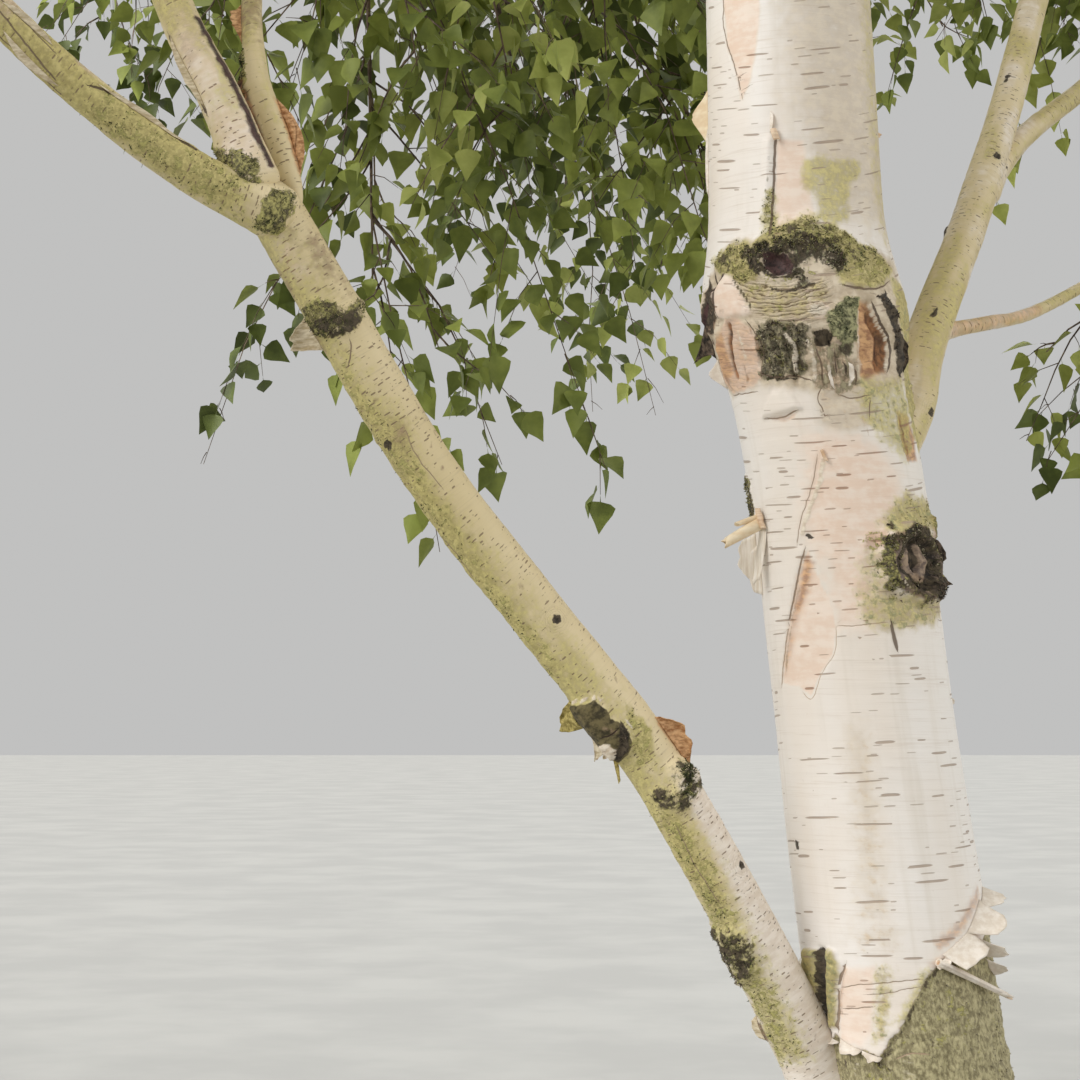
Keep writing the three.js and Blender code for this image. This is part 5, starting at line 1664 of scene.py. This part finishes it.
clusterRoot = placeOff(trunkStem, 1042, -62, 2)
clusterQuills = [  # root, tip, radius and how many times round
    (clusterRoot, clusterRoot + np.array([-38.0, -14, -22]), 7.5, 1.8),
    (clusterRoot + [0, 0, 7], clusterRoot + np.array([-26.0, -8, -2]), 3.6, 1.4),
]
trunkQuills = [(placeOff(trunkStem, 591, 22, 5), placeOff(trunkStem, 552, 68, 16), 4.2, 1.7)]
shreds = [(trunkStem, flap) for flap in looseShreds(shredLook)]
flapPiece("trunk_peels", onTrunk(trunkFlaps), trunkQuills, ["paperOutside", "paperInside"])
flapPiece("trunk_shreds", shreds, [], ["paperOutside", "paperInside"])
flapPiece("trunk_curl", onTrunk(yellowFlaps), clusterQuills, ["yellowPaper", "yellowPaper"])
flapPiece("trunk_sheets", onTrunk(hungFlaps), [], ["hungPaper", "hungPaper"])
flapPiece("trunk_plates", onTrunk(darkFlaps), [], ["crust", "crust"])
flapPiece("limb_peels", onLimbs(limbFlaps), [], ["limbPaper", "paperInside"])
flapPiece("limb_lichen", onLimbs(lichenFlaps), [], ["yellowLichen", "limbPaper"])
flapPiece("limb_rust", onLimbs(rustFlaps), [], ["rust", "rust"])
print("5. peels made")


# Moss and crust: small spikes and flakes at many places on the bark

crumbShapes = {  # how wide and thick, as shares of the length
    "tuft": (0.34, 0.34),
    "flake": (0.62, 0.20),
    "scale": (1.1, 0.12),
}


def crumbTemplate(wide, thick):
    bm = bmesh.new()
    bmesh.ops.create_cone(bm, cap_ends=True, cap_tris=False, segments=3, radius1=0.5, radius2=0.0, depth=1.0)
    bmesh.ops.scale(bm, vec=(wide, thick, 1), verts=bm.verts)
    bmesh.ops.translate(bm, verts=bm.verts, vec=(0, 0, 0.4))
    return templateOf(bm)


crumbs = {name: crumbTemplate(*size) for name, size in crumbShapes.items()}


clumping = {"grain": 9, "edge": (-0.3, 0.5)}


def crumbsOn(stem, mask, shape, count, tall, spread, droop, seed):
    draws = np.random.default_rng(seed)
    rise, step = np.gradient(stem.along), np.gradient(stem.turn)
    clumps = ease(*clumping["edge"], roughNoise(stem.coords, clumping["grain"], 2, seed))
    area = np.clip(mask, 0, 1) ** 2 * clumps * rise[:, None] * step
    chosen = draws.choice(area.size, count, p=(area / area.sum()).ravel())
    row, column = np.unravel_index(chosen, area.shape)
    along = stem.along[row] + draws.uniform(-0.5, 0.5, count) * rise[row]
    turn = stem.turn[column] + draws.uniform(-0.5, 0.5, count) * step[column]
    place, out, _, _ = surfaceAt(stem, np.clip(along, stem.along[0], stem.along[-1]), turn)
    above = unit(out + spread * draws.normal(size=(count, 3)) - up * droop)
    across = unit(np.cross(above, draws.normal(size=(count, 3))))
    ahead = np.cross(above, across)
    return repeated(*crumbs[shape], place, across, ahead, above, draws.uniform(*tall, count))


def trunkArea(*names):
    return np.maximum.reduce([region(trunkStem, trunkRegions[name][-1], 3, 4) for name in names])


lowStem = limbStems["low_stem"]
ball = region(lowStem, limbRegions["low_stem"]["mossBall"][-1], 3, 4)
mossyFoot = 620  # millimetres: the trunk's moss is dense up to here
belowView = trunkStem.along[:, None] < mossyFoot
inView = trunkStem.along[:, None] < trunkGrid["viewEnd"]
browMoss = trunkArea("brow", "slitMoss", "brightLeft", "mossOnTheLeft")
greenEdge = trunkArea("greenFlap", "overTheKnot", "tuftByTheKnot")
# browDark takes in the brow's dark underside, dark crust with painted shade beneath the brow, and the moss by
# the knot
browDark = trunkArea("browDarkLeft", "browDarkRight", "mossByTheKnot")
knotRing = patch(trunkStem, *rightKnotLook["crust"], soft=0.3)
knotRing = knotRing - patch(trunkStem, *rightKnotLook["clean"], soft=0.3)
blackBark = trunkArea("blackBark")
blackParts = trunkArea("rightBlade", "crustUnderTheKnot")
lichenParts = trunkArea("lichen")
footSeen = 380  # millimetres: the foot's crust starts here
foot = trunkStem.paint["foot"] * (trunkStem.along[:, None] > footSeen)
tuftCounts = {
    "low_stem": 700,
    "low_stem_left_limb": 320,
    "low_stem_upper_limb": 320,
    "low_stem_side_limb": 320,
}
mossyLimbs = [(limbStems[name], count) for name, count in tuftCounts.items()]
growing = {  # each job: stem, where, shape, count, lengths, spread and droop
    "brightMoss": [
        (trunkStem, browMoss, "tuft", 420, (1.2, 4.2), 0.9, -0.3),
        (trunkStem, browMoss, "scale", 420, (1.4, 3.4), 0.8, 0.0),
        (trunkStem, greenEdge, "scale", 200, (1.0, 2.6), 0.8, 0.0),
        (trunkStem, trunkStem.paint["moss"] * belowView, "tuft", 500, (1.0, 2.6), 0.8, 0.0),
        (trunkStem, trunkStem.paint["moss"] * ~inView, "tuft", 900, (2.0, 6.0), 0.8, 0.0),
        *[(stem, stem.paint["moss"], "tuft", count, (1.2, 3.4), 0.8, -0.2) for stem, count in mossyLimbs],
    ],
    "deepMoss": [
        (trunkStem, browDark, "tuft", 420, (1.2, 4.0), 0.9, 0.2),
        (lowStem, ball, "tuft", 420, (1.4, 3.8), 0.8, -0.1),
        (trunkStem, browMoss, "flake", 300, (1.5, 4.0), 0.9, 0.2),
        (trunkStem, knotRing, "tuft", 260, (1.2, 3.2), 0.9, 0.0),
        (trunkStem, blackBark, "flake", 120, (1.5, 4.0), 0.9, 0.2),
        (trunkStem, trunkStem.paint["moss"] * ~inView, "tuft", 900, (2.0, 6.0), 0.8, 0.0),
        *[(stem, stem.paint["moss"], "flake", count, (1.2, 3.6), 0.9, 0.2) for stem, count in mossyLimbs],
    ],
    # dark crust flakes under the brow also deepen the painted shade beneath it
    "crust": [ (trunkStem, browDark, "flake", 110, (2.5, 7), 0.7, 0.35), (trunkStem, knotRing, "flake", 80,
        (2.5, 6), 0.8, 0.1), (trunkStem, blackParts, "flake", 130, (2, 6), 0.6, 0.2), (trunkStem, blackBark,
        "flake", 90, (2, 6), 0.6, 0.2), (lowStem, lowStem.paint["dark"], "flake", 180, (1.5, 5), 0.8, 0.2),
        ],
    "paleCrust": [ (trunkStem, blackBark, "scale", 110, (1.5, 4), 0.6, 0.2), (trunkStem, browDark, "scale",
        120, (1.5, 4), 0.7, 0.1), (trunkStem, foot, "scale", 1500, (1.2, 3.0), 0.7, 0.1), (trunkStem,
        knotRing, "scale", 90, (1.5, 4), 0.7, 0.1), ],
    "greyLichen": [ (trunkStem, lichenParts, "scale", 260, (1.2, 3.0), 0.8, 0.0), ],
}
for name, jobs in growing.items():
    parts = [crumbsOn(*job, seed) for seed, job in enumerate(jobs, 61)]
    addPiece(name, meshFromArrays(name, *joined(parts)), [skins[name]])
print("6. moss and crust made")


# Masses of foliage, by the solids' own rule

growth = {
    "stemReach": 0.62,
    "stemPast": 0.55,  # past the mass's centre, of its radius
    "stemRise": (0.72, 0.1),  # above it, where the limb points up and where it points out
    "twigCount": 6,
    "twigSteps": 3,
    "twigDroop": 0.32,
    "twigRadius": 6,
    "sprayStations": (0.24, 0.5, 0.76, 0.96),
    "spraySlopes": (-0.45, 0.3, -1.3),
    "spraySizes": (1.3, 1.05, 0.85),
    "sprayLength": 500,
    "sprayWidth": 300,
    "sprayWidest": 0.46,
    "massGap": 14,
    "limbGap": 40,
    "twigGap": 22,
    "sprayGap": 55,
    "boxSlack": 70,  # growth may stand this far out of the solids' box
}


def seededDraw(seed):
    state = (seed * 2654435761) & 0xFFFFFFFF

    def draw():
        nonlocal state
        state = (state * 1664525 + 1013904223) & 0xFFFFFFFF
        return state / 4294967296

    return draw


def massFrom(name, start, direction, stemRadius, radius, halfHeight, lift, firstTwig=0.12):
    outward = np.array([direction[0], direction[1], 0.0])
    spread = min(1.0, float(np.linalg.norm(outward)) * 1.4)
    outward = outward / max(np.linalg.norm(outward), 1e-9)
    centre = start + outward * radius * growth["stemReach"] * spread + up * halfHeight * lift
    return SimpleNamespace(
        name=name, start=start, direction=direction, stemRadius=stemRadius, radius=radius,
        halfHeight=halfHeight, centre=centre, outward=outward, spread=spread, firstTwig=firstTwig,
    )


def massAtTip(limb, radius, halfHeight, lift):
    direction = headingAt(limb.curve, 1.0)
    start = limb.curve(1.0) + direction * 0.3
    return massFrom(f"foliage_{limb.name}", start, direction, limb.tipRadius * 0.92, radius, halfHeight, lift)


trunkMass = {"rise": 52, "stemRadius": 11, "lift": 0.55, "firstTwig": 0.24}  # rise in degrees
boughMass = {"radius": (1000, 620), "narrowing": 1.3, "tall": 1.12, "lift": (-0.05, 0.3)}  # low and high


def massOnTrunk(name, height, bearing, radius, halfHeight):
    start = trunkAxis(trunkPlace(height))
    way = heading(bearing, trunkMass["rise"])
    sizes = trunkMass["stemRadius"], radius, halfHeight
    return massFrom(name, start, way, *sizes, trunkMass["lift"], trunkMass["firstTwig"])


def massOnBough(bough):
    radius = mix(*boughMass["radius"], bough.share ** boughMass["narrowing"])
    return massAtTip(bough, radius, radius * boughMass["tall"], mix(*boughMass["lift"], bough.share))


masses = [
    massAtTip(limbs["low_stem_left_limb"], 680, 820, 0.1),
    massAtTip(limbs["low_stem_upper_limb"], 720, 880, 0.05),
    massAtTip(limbs["low_stem_side_limb"], 660, 740, -0.12),
    massAtTip(limbs["right_bough"], 700, 800, 0.1),
    massAtTip(limbs["right_bough_upper_limb"], 600, 640, 0.1),
    massAtTip(limbs["right_bough_lower_limb"], 520, 480, 0.05),
    *[massOnBough(bough) for bough in boughs],
    massOnTrunk("foliage_trunk_low", 3000, 330, 760, 740),
    massOnTrunk("foliage_trunk_middle", 4400, 120, 760, 740),
    massOnTrunk("foliage_trunk_high", 5700, 10, 680, 700),
    massOnTrunk("foliage_trunk_upper", 7250, 200, 600, 640),
    massOnTrunk("foliage_trunk_crest", 7650, 40, 600, 640),
    massFrom("foliage_top", trunkAxis(1.0) + up * 0.3, up, trunkSize["tipRadius"] * 0.92, 520, 560, 0.6),
]
centres = np.array([mass.centre for mass in masses])
massRadii = np.array([mass.radius for mass in masses], float)
massHeights = np.array([mass.halfHeight for mass in masses], float)
crownBox = np.array(cadBox) / metre + [[-growth["boxSlack"]], [growth["boxSlack"]]]


def isOwnSpace(index, places, gap=growth["massGap"]):
    offset = places[:, None] - centres
    across = np.hypot(offset[..., 0], offset[..., 1]) / massRadii
    near = np.hypot(across, offset[..., 2] / massHeights)
    own = near[:, index] + gap / massRadii[index]
    others = near - gap / massRadii
    others[:, index] = np.inf
    inBox = ((places > crownBox[0]) & (places < crownBox[1])).all(1)
    return (own <= 1) & (others.min(1) > own) & inBox


def stretches(places, radius):
    return places[:-1], places[1:], np.broadcast_to(np.asarray(radius, float), len(places) - 1)


def together(*several):
    return tuple(np.concatenate([s[k] for s in several]) for k in range(3))


def clearance(lines, places):  # how far each place is from the surface of the nearest stretch
    start, end, radius = lines
    way = end - start
    offset = places[:, None] - start
    share = np.clip((offset * way).sum(-1) / np.maximum((way * way).sum(-1), 1e-9), 0, 1)
    return (np.linalg.norm(offset - way * share[..., None], axis=-1) - radius).min(1)


def limbStretches(limb):
    shares = np.linspace(0, 1, 25)
    return stretches(limb.curve(shares), mix(limb.rootRadius, limb.tipRadius, shares[:-1]))


trunkHeights = np.arange(math.ceil(trunkSize["top"] / 120) + 1) * 120.0
trunkLine = stretches(trunkAxis(trunkPlace(trunkHeights)), trunkRadius(trunkHeights[:-1]))
woodLines = together(trunkLine, *[limbStretches(limb) for limb in allLimbs])


def massStem(mass):
    bend = mass.start + mass.direction * mass.radius * growth["stemReach"]
    end = mass.centre + mass.outward * mass.radius * growth["stemPast"] * mass.spread
    end = end + up * mass.halfHeight * mix(*growth["stemRise"], mass.spread)
    return bentCurve(mass.start, bend, end)


def twigPlaces(index, root, direction, length, neighbours):
    obstacles = together(woodLines, neighbours)
    places = [root]
    heads = unit(direction)
    for _ in range(growth["twigSteps"]):
        last = places[-1]
        ahead = last + heads * length / growth["twigSteps"]
        tried = np.array([ahead, (last + ahead) / 2])
        if not isOwnSpace(index, ahead[None])[0] or clearance(obstacles, tried).min() <= growth["twigGap"]:
            break
        places.append(ahead)
        heads = unit(heads - up * growth["twigDroop"])
    return np.array(places)


def growTwigs(index, stem, seed):
    mass = masses[index]
    twigs = []
    wood = stretches(stem(np.linspace(0, 1, 9)), mass.stemRadius)
    for k in range(growth["twigCount"]):
        draw = seededDraw(seed + k)
        share = (k + 0.5) / growth["twigCount"]
        along = mix(mass.firstTwig, 0.98, share)
        tangent = headingAt(stem, along)
        across = unit(np.cross(tangent, nearlyUp))
        across = turned(across, tangent, math.radians(k * climbing["goldenAngle"] + 50 * draw()))
        length = mass.radius * mix(1.15, 0.8, share) * mix(0.85, 1.15, draw())
        places = twigPlaces(index, stem(along), tangent * 0.5 + across, length, wood)
        if len(places) > 1:
            twigs.append((places, draw))
            wood = together(wood, stretches(places, growth["twigRadius"]))
    return twigs, wood


def sprayPlaces(root, heads, side, size):
    length = growth["sprayLength"] * size
    half = growth["sprayWidth"] * size / 2
    widest = growth["sprayWidest"]
    shares = np.array([0.25, widest, 0.75, 1])
    outs = half * np.minimum(shares / widest, (1 - shares) / (1 - widest))
    middles = root + heads * (shares * length)[:, None]
    return (middles[:, None] + side * (outs[:, None] * [-1, 0, 1])[..., None]).reshape(-1, 3)


def sprayOptions(root, along, hand, swing, roll):
    level = unit(np.cross(along, nearlyUp))
    for slope in growth["spraySlopes"]:
        for turn in (hand, -hand):
            heads = unit(along + level * turn * swing + up * slope)
            side = turned(unit(np.cross(heads, nearlyUp)), heads, turn * roll)
            for size in growth["spraySizes"]:
                yield root, heads, side, size


def growSprays(index, places, draw, wood, taken):
    sprays = []
    stations = growth["sprayStations"][0 if len(places) > 2 else 1 :]
    for i, station in enumerate(stations):
        reach = station * (len(places) - 1)
        stretch = int(reach)
        root = mix(places[stretch], places[stretch + 1], reach - stretch)
        along = unit(places[stretch + 1] - places[stretch])
        swing = 0.45 if i == len(stations) - 1 else 1
        for option in sprayOptions(root, along, 1 if i % 2 == 0 else -1, swing, mix(-0.2, 1.2, draw())):
            spots = sprayPlaces(*option)
            if not isOwnSpace(index, spots).all() or clearance(woodLines, spots).min() <= growth["limbGap"]:
                continue
            if clearance(wood, spots).min() <= growth["twigGap"]:
                continue
            apart = np.linalg.norm(np.array(taken)[:, None] - spots, axis=-1).min() if taken else math.inf
            if apart <= growth["sprayGap"]:
                continue
            taken.extend(spots)
            sprays.append(option)
            break
    return sprays


# Finer growth. Each spray is a drooping shoot with side shoots to either hand, and leaves along both, and
# more such shoots, and lesser twigs with shoots of their own, stand along each twig.

shoot = {
    "sidePitch": 44,  # along a shoot, from one side shoot to the next
    "leafPitch": 25,
    "mainLeafPitch": 46,
    "mainPoints": 5,
    "sidePoints": 3,
    "sideShortened": (0.65, 0.5),  # a side shoot that would leave its mass's space is made shorter
    "sag": 0.20,  # of a shoot's length, at its end
    "sagSpread": (0.6, 1.5),
    "wander": 0.04,
    "sideLeast": 0.28,  # of the half width
    "sideBend": (0.25, 0.6),
    "leafLength": (38, 60),  # with the stalk
    "finerPitch": 66,  # along a twig, from one finer shoot to the next
    "finerLength": (290, 160),  # near the stem, near the twig's tip
    "finerWidth": 0.34,  # half width, of the length
    "massEdge": 4,  # the leaves stay this far inside their mass's space
    "lesserCount": 3,  # lesser twigs along each twig
    "lesserLength": (0.50, 0.30),  # of the mass's radius
    "lesserSteps": 3,
    "lesserDroop": 0.45,
}


def growShoot(index, root, heads, side, length, half, draws, lines, leaves):
    sag = shoot["sag"] * draws.uniform(*shoot["sagSpread"])
    wander = draws.normal(size=3) * shoot["wander"] * length

    def main(share):
        share = np.asarray(share)[..., None]
        return root + heads * length * share - up * sag * length * share**2 + wander * np.sin(share * 5)

    lines["main"].append(main(np.linspace(0, 1, shoot["mainPoints"])))
    count = max(3, int(length / shoot["sidePitch"]))
    share = (np.arange(count) + draws.uniform(0.4, 0.8)) / count
    hand = np.where(np.arange(count) % 2, 1.0, -1.0)
    outline = np.minimum(share / growth["sprayWidest"], (1 - share) / (1 - growth["sprayWidest"]))
    reach = half * np.clip(outline, shoot["sideLeast"], 1) * draws.uniform(0.8, 1.2, count)
    way = unit(side * hand[:, None] * 0.95 + heads * 0.7 + draws.normal(size=(count, 3)) * 0.22)
    starts = main(share)
    bend = draws.uniform(*shoot["sideBend"], count)
    for shorter in shoot["sideShortened"]:
        ends = starts + way * reach[:, None] - up * (bend * reach)[:, None]
        reach = np.where(isOwnSpace(index, ends, shoot["massEdge"]), reach, reach * shorter)

    def sideAt(t):  # t has one row for each side shoot
        run = reach[:, None] * t
        return starts[:, None] + way[:, None] * run[..., None] - up * (bend[:, None] * run * t)[..., None]

    lines["side"].append(sideAt(np.tile(np.linspace(0, 1, shoot["sidePoints"]), (count, 1))))
    most = int(half * 1.2 / shoot["leafPitch"]) + 2
    t = (np.arange(most)[None] + draws.uniform(0.5, 0.9, (count, 1))) * shoot["leafPitch"] / reach[:, None]
    there = t <= 1
    there[:, -1] = True
    t = np.minimum(t, 1)
    t[:, -1] = 1
    swing = np.where(np.arange(most) % 2, 1.0, -1.0)[None, :, None]
    sideways = np.cross(way, up)[:, None] * swing
    down = up * draws.uniform(0.3, 1.0, (count, most, 1))
    leafWay = way[:, None] * 0.75 + sideways * 0.75 - down + draws.normal(size=(count, most, 3)) * 0.25
    leafWay[:, -1] = way - up * 0.6
    mainCount = max(2, int(length / shoot["mainLeafPitch"]))
    mainHand = np.where(np.arange(mainCount) % 2, 1.0, -1.0)[:, None]
    mainWay = heads * 0.5 - side * mainHand * 0.8 - up * 0.5 + draws.normal(size=(mainCount, 3)) * 0.25
    spots = np.concatenate([sideAt(t)[there], main((np.arange(mainCount) + 0.6) / mainCount)])
    leafWay = unit(np.concatenate([leafWay[there], mainWay]))
    size = draws.uniform(*shoot["leafLength"], len(spots))
    above = up * 0.9 + draws.normal(size=(len(spots), 3)) * 0.55
    above = unit(above - leafWay * (above * leafWay).sum(-1, keepdims=True))
    tips = spots + leafWay * size[:, None]
    fits = isOwnSpace(index, tips, shoot["massEdge"]) & isOwnSpace(index, spots, shoot["massEdge"])
    leaves.append((spots[fits], np.cross(leafWay, above)[fits], leafWay[fits], above[fits], size[fits]))


def shootsAlong(index, places, draws):
    line = curveThrough(places)
    run = np.linalg.norm(np.diff(places, axis=0), axis=1).sum()
    count = max(2, int(run / shoot["finerPitch"]))
    shoots = []
    for k in range(count):
        share = (k + 0.7) / count
        root = line(share)
        along = headingAt(line, share)
        across = unit(np.cross(along, nearlyUp))
        across = turned(across, along, math.radians(k * climbing["goldenAngle"]) + draws.uniform(-0.4, 0.4))
        heads = unit(along * 0.6 + across * 0.9 - up * 0.35)
        side = turned(unit(np.cross(heads, nearlyUp)), heads, draws.uniform(-1.0, 1.0))
        length = mix(*shoot["finerLength"], share) * draws.uniform(0.8, 1.25)
        for shorter in (1, 0.65, 0.4):
            reach = length * shorter
            tip = root + (heads - up * 0.2) * reach
            tried = np.array([(root + tip) / 2, tip])
            if isOwnSpace(index, tried).all() and clearance(woodLines, tried).min() > growth["limbGap"]:
                shoots.append((root, heads, side, reach, reach * shoot["finerWidth"]))
                break
    return shoots


def lesserTwigs(index, places, draws):
    line = curveThrough(places)
    twigs = []
    for k in range(shoot["lesserCount"]):
        share = (k + 0.6) / shoot["lesserCount"]
        along = headingAt(line, share)
        across = unit(np.cross(along, nearlyUp))
        angle = math.radians((k + 0.5) * climbing["goldenAngle"]) + draws.uniform(-0.5, 0.5)
        across = turned(across, along, angle)
        heads = unit(along * 0.7 + across)
        step = masses[index].radius * mix(*shoot["lesserLength"], share) / shoot["lesserSteps"]
        twig = [line(share)]
        for _ in range(shoot["lesserSteps"]):
            ahead = twig[-1] + heads * step * draws.uniform(0.85, 1.15)
            tried = np.array([(twig[-1] + ahead) / 2, ahead])
            if not isOwnSpace(index, tried).all() or clearance(woodLines, tried).min() < growth["limbGap"]:
                break
            twig.append(ahead)
            heads = unit(heads - up * shoot["lesserDroop"])
        if len(twig) > 1:
            twigs.append(np.array(twig))
    return twigs


# Tubes for the twigs, closed at both ends


def tubes(lines, rootRadius, tipRadius, sides):
    lines = np.asarray(lines)
    count, points = lines.shape[:2]
    tangent = unit(np.gradient(lines, axis=1))
    side = unit(np.cross(tangent, nearlyUp))
    over = np.cross(tangent, side)
    angle = 2 * math.pi * np.arange(sides) / sides
    radius = mix(rootRadius, tipRadius, np.linspace(0, 1, points))[None, :, None, None]
    ring = side[:, :, None] * np.cos(angle)[:, None] + over[:, :, None] * np.sin(angle)[:, None]
    places = (lines[:, :, None] + ring * radius).reshape(-1, 3)
    one = []
    for i, j in itertools.product(range(points - 1), range(sides)):
        a, b = i * sides + j, i * sides + (j + 1) % sides
        one += [(a, b, b + sides), (a, b + sides, a + sides)]
    end = (points - 1) * sides
    one += [(0, j + 1, j) for j in range(1, sides - 1)]
    one += [(end, end + j, end + j + 1) for j in range(1, sides - 1)]
    starts = np.arange(count) * points * sides
    return places, (np.array(one)[None] + starts[:, None, None]).reshape(-1, 3)


# Leaves: an oval that narrows to a point, on a short stalk, folded a little along its middle

leafOutlines = {  # share of the length from the twig, and half width as a share of the length
    "far": [(0, 0), (0.2, 0.012), (0.42, 0.35), (0.7, 0.23), (1, 0)],
    "near": [(0, 0), (0.2, 0.012), (0.27, 0.22), (0.38, 0.33), (0.55, 0.27), (0.78, 0.12), (1, 0)],
}
nearLeaves = 2300  # millimetres: a mass that reaches down to here has the finer leaves
leafTones = {
    "leaves_deep": ((0.068, 0.088, 0.019), (0.142, 0.180, 0.038)),
    "leaves_dark": ((0.122, 0.152, 0.030), (0.234, 0.276, 0.058)),
    "leaves_mid": ((0.190, 0.222, 0.044), (0.326, 0.374, 0.080)),
    "leaves_fresh": ((0.262, 0.292, 0.056), (0.412, 0.448, 0.108)),
    "leaves_light": ((0.266, 0.304, 0.068), (0.424, 0.454, 0.130)),
}
leafFinish = (0.05, 0.05, 0.05), 0.5, 0.15, 0.0008, 0.25  # grain, roughness, bump, its height and shine
# Each bunch draws its green at random, darker greens more likely low in the crown and lighter ones high:
# painted shade low down and painted light at the top.
toneShares = {"low": (0.26, 0.32, 0.26, 0.12, 0.04), "high": (0.10, 0.22, 0.32, 0.24, 0.12)}
toneHeights = 1500, 8000  # millimetres: low, high
twigRadii = {"stem": 3.2, "twig": (4.6, 1.3), "lesser": (2.6, 1.0), "shoot": (1.9, 0.5), "side": (0.9, 0.35)}
leafBend = {"fold": 0.28, "arch": 0.16}  # shares of the half width and of the length


def leafTemplate(outline, columns, fold, arch):
    bm = bmesh.new()
    grid = bmesh.ops.create_grid(bm, x_segments=columns, y_segments=len(outline) - 1, size=0.5)["verts"]
    for vert in grid:
        share, half = outline[round((vert.co.y + 0.5) * (len(outline) - 1))]
        across = vert.co.x * 2
        vert.co = (across * half, share, fold * abs(across) * half - arch * share**2)
    bmesh.ops.remove_doubles(bm, verts=bm.verts, dist=1e-5)
    return templateOf(bm)


leafShapes = {
    "far": leafTemplate(leafOutlines["far"], 1, 0, leafBend["arch"]),
    "near": leafTemplate(leafOutlines["near"], 2, leafBend["fold"], leafBend["arch"]),
}


def growMass(index, wood, leafParts):
    mass = masses[index]
    draws = np.random.default_rng(900 + index)
    stem = massStem(mass)
    twigs, lines = growTwigs(index, stem, (index + 11) * 100)
    wood.append((index, tubes(stem(np.linspace(0, 1, 9))[None], mass.stemRadius, twigRadii["stem"], 8)))
    taken = []
    bunches = []  # the shoots in one bunch are alike in colour
    for places, draw in twigs:
        for root, heads, side, size in growSprays(index, places, draw, lines, taken):
            length, half = growth["sprayLength"] * size, growth["sprayWidth"] * size / 2
            bunches.append([(root, heads, side, length, half)])
    for places, _ in twigs:
        line = curveThrough(places)(np.linspace(0, 1, 7))
        wood.append((index, tubes(line[None], *twigRadii["twig"], 5)))
        bunches.append(shootsAlong(index, places, draws))
        for lesser in lesserTwigs(index, places, draws):
            line = curveThrough(lesser)(np.linspace(0, 1, 5))
            wood.append((index, tubes(line[None], *twigRadii["lesser"], 4)))
            bunches.append(shootsAlong(index, lesser, draws))
    near = mass.centre[2] - mass.halfHeight < nearLeaves
    for bunch in filter(None, bunches):
        lines, leaves = {"main": [], "side": []}, []
        for one in bunch:
            growShoot(index, *one, draws, lines, leaves)
        wood.append((index, tubes(np.array(lines["main"]), *twigRadii["shoot"], 3)))
        wood.append((index, tubes(np.concatenate(lines["side"]), *twigRadii["side"], 3)))
        # darker greens more likely low in the crown, lighter high: painted shade and light
        share = ease(*toneHeights, bunch[0][0][2])
        chances = mix(np.array(toneShares["low"]), np.array(toneShares["high"]), share)
        tone = draws.choice(list(leafTones), p=chances)
        arrays = [np.concatenate(parts) for parts in zip(*leaves)]
        leafParts[tone].append(repeated(*leafShapes["near" if near else "far"], *arrays))


wood = []
leafParts = {tone: [] for tone in leafTones}
for index in range(len(masses)):
    growMass(index, wood, leafParts)


def addGrowth(name, parts, material, nodes=()):
    places, faces = joined(parts)
    print("  ", name, len(faces), "triangles")
    addPiece(name, meshFromArrays(name, places, faces), [material], nodes)
    return len(faces)


triangles = 0
sections = {  # which masses
    "twigs_low": range(0, 8),
    "twigs_mid": range(8, 13),
    "twigs_high": range(13, 18),
    "twigs_top": range(18, 24),
}
for name, members in sections.items():
    parts = [part for index, part in wood if index in members]
    triangles += addGrowth(name, parts, skins["twigBark"], [masses[i].name for i in members])
for name, (deep, light) in leafTones.items():
    leafGreen = grainyMaterial(name, deep, light, *leafFinish)
    halves = leafParts[name][::2], leafParts[name][1::2]
    for half, parts in enumerate(halves, 1):
        triangles += addGrowth(f"{name}_{half}", parts, leafGreen)
print("7. crown made:", triangles, "triangles")


# Floor, light and camera

floorSize = 60.0
floorLook = {  # what grainyMaterial takes
    "deep": (0.40, 0.40, 0.385),
    "light": (0.45, 0.45, 0.43),
    "size": (0.6, 0.6, 0.6),
    "roughness": 0.9,
    "strength": 0.05,
    "distance": 0.002,
}


def addFloor():
    bm = bmesh.new()
    bmesh.ops.create_grid(bm, x_segments=1, y_segments=1, size=floorSize)
    mesh = bpy.data.meshes.new("floor")
    bm.to_mesh(mesh)
    bm.free()
    floor = bpy.data.objects.new("floor", mesh)
    bpy.context.scene.collection.objects.link(floor)
    mesh.materials.append(grainyMaterial("floor", **floorLook))


def addSun(name, bearing, height, strength, softness, tint):
    light = bpy.data.lights.new(name, "SUN")
    light.energy = strength
    light.angle = math.radians(softness)
    light.color = tint
    sun = bpy.data.objects.new(name, light)
    sun.rotation_euler = (math.radians(90 - height), 0, math.radians(bearing + 90))
    bpy.context.scene.collection.objects.link(sun)


def addWorld(tint, strength):
    world = bpy.data.worlds.new("sky")
    world.use_nodes = True
    background = world.node_tree.nodes["Background"]
    background.inputs["Color"].default_value = colour(tint)
    background.inputs["Strength"].default_value = strength
    bpy.context.scene.world = world


def addCamera():
    lens = bpy.data.cameras.new("camera")
    lens.lens = view["lens"]
    lens.sensor_width = 36
    lens.clip_end = 200
    camera = bpy.data.objects.new("camera", lens)
    camera.location = view["eye"]
    camera.rotation_euler = (math.radians(90 + view["pitch"]), 0, 0)
    bpy.context.scene.collection.objects.link(camera)
    bpy.context.scene.camera = camera


addFloor()
addSun("key", bearing=-153, height=35, strength=3.1, softness=40, tint=(1.0, 0.985, 0.975))
addSun("fill", bearing=-12, height=30, strength=0.95, softness=60, tint=(1.0, 0.97, 0.92))
addSun("back", bearing=80, height=45, strength=0.8, softness=40, tint=(1.0, 0.99, 0.95))
addWorld((0.56, 0.56, 0.555), 0.95)
addCamera()
bpy.context.scene.view_settings.view_transform = "Standard"


print("8. done")
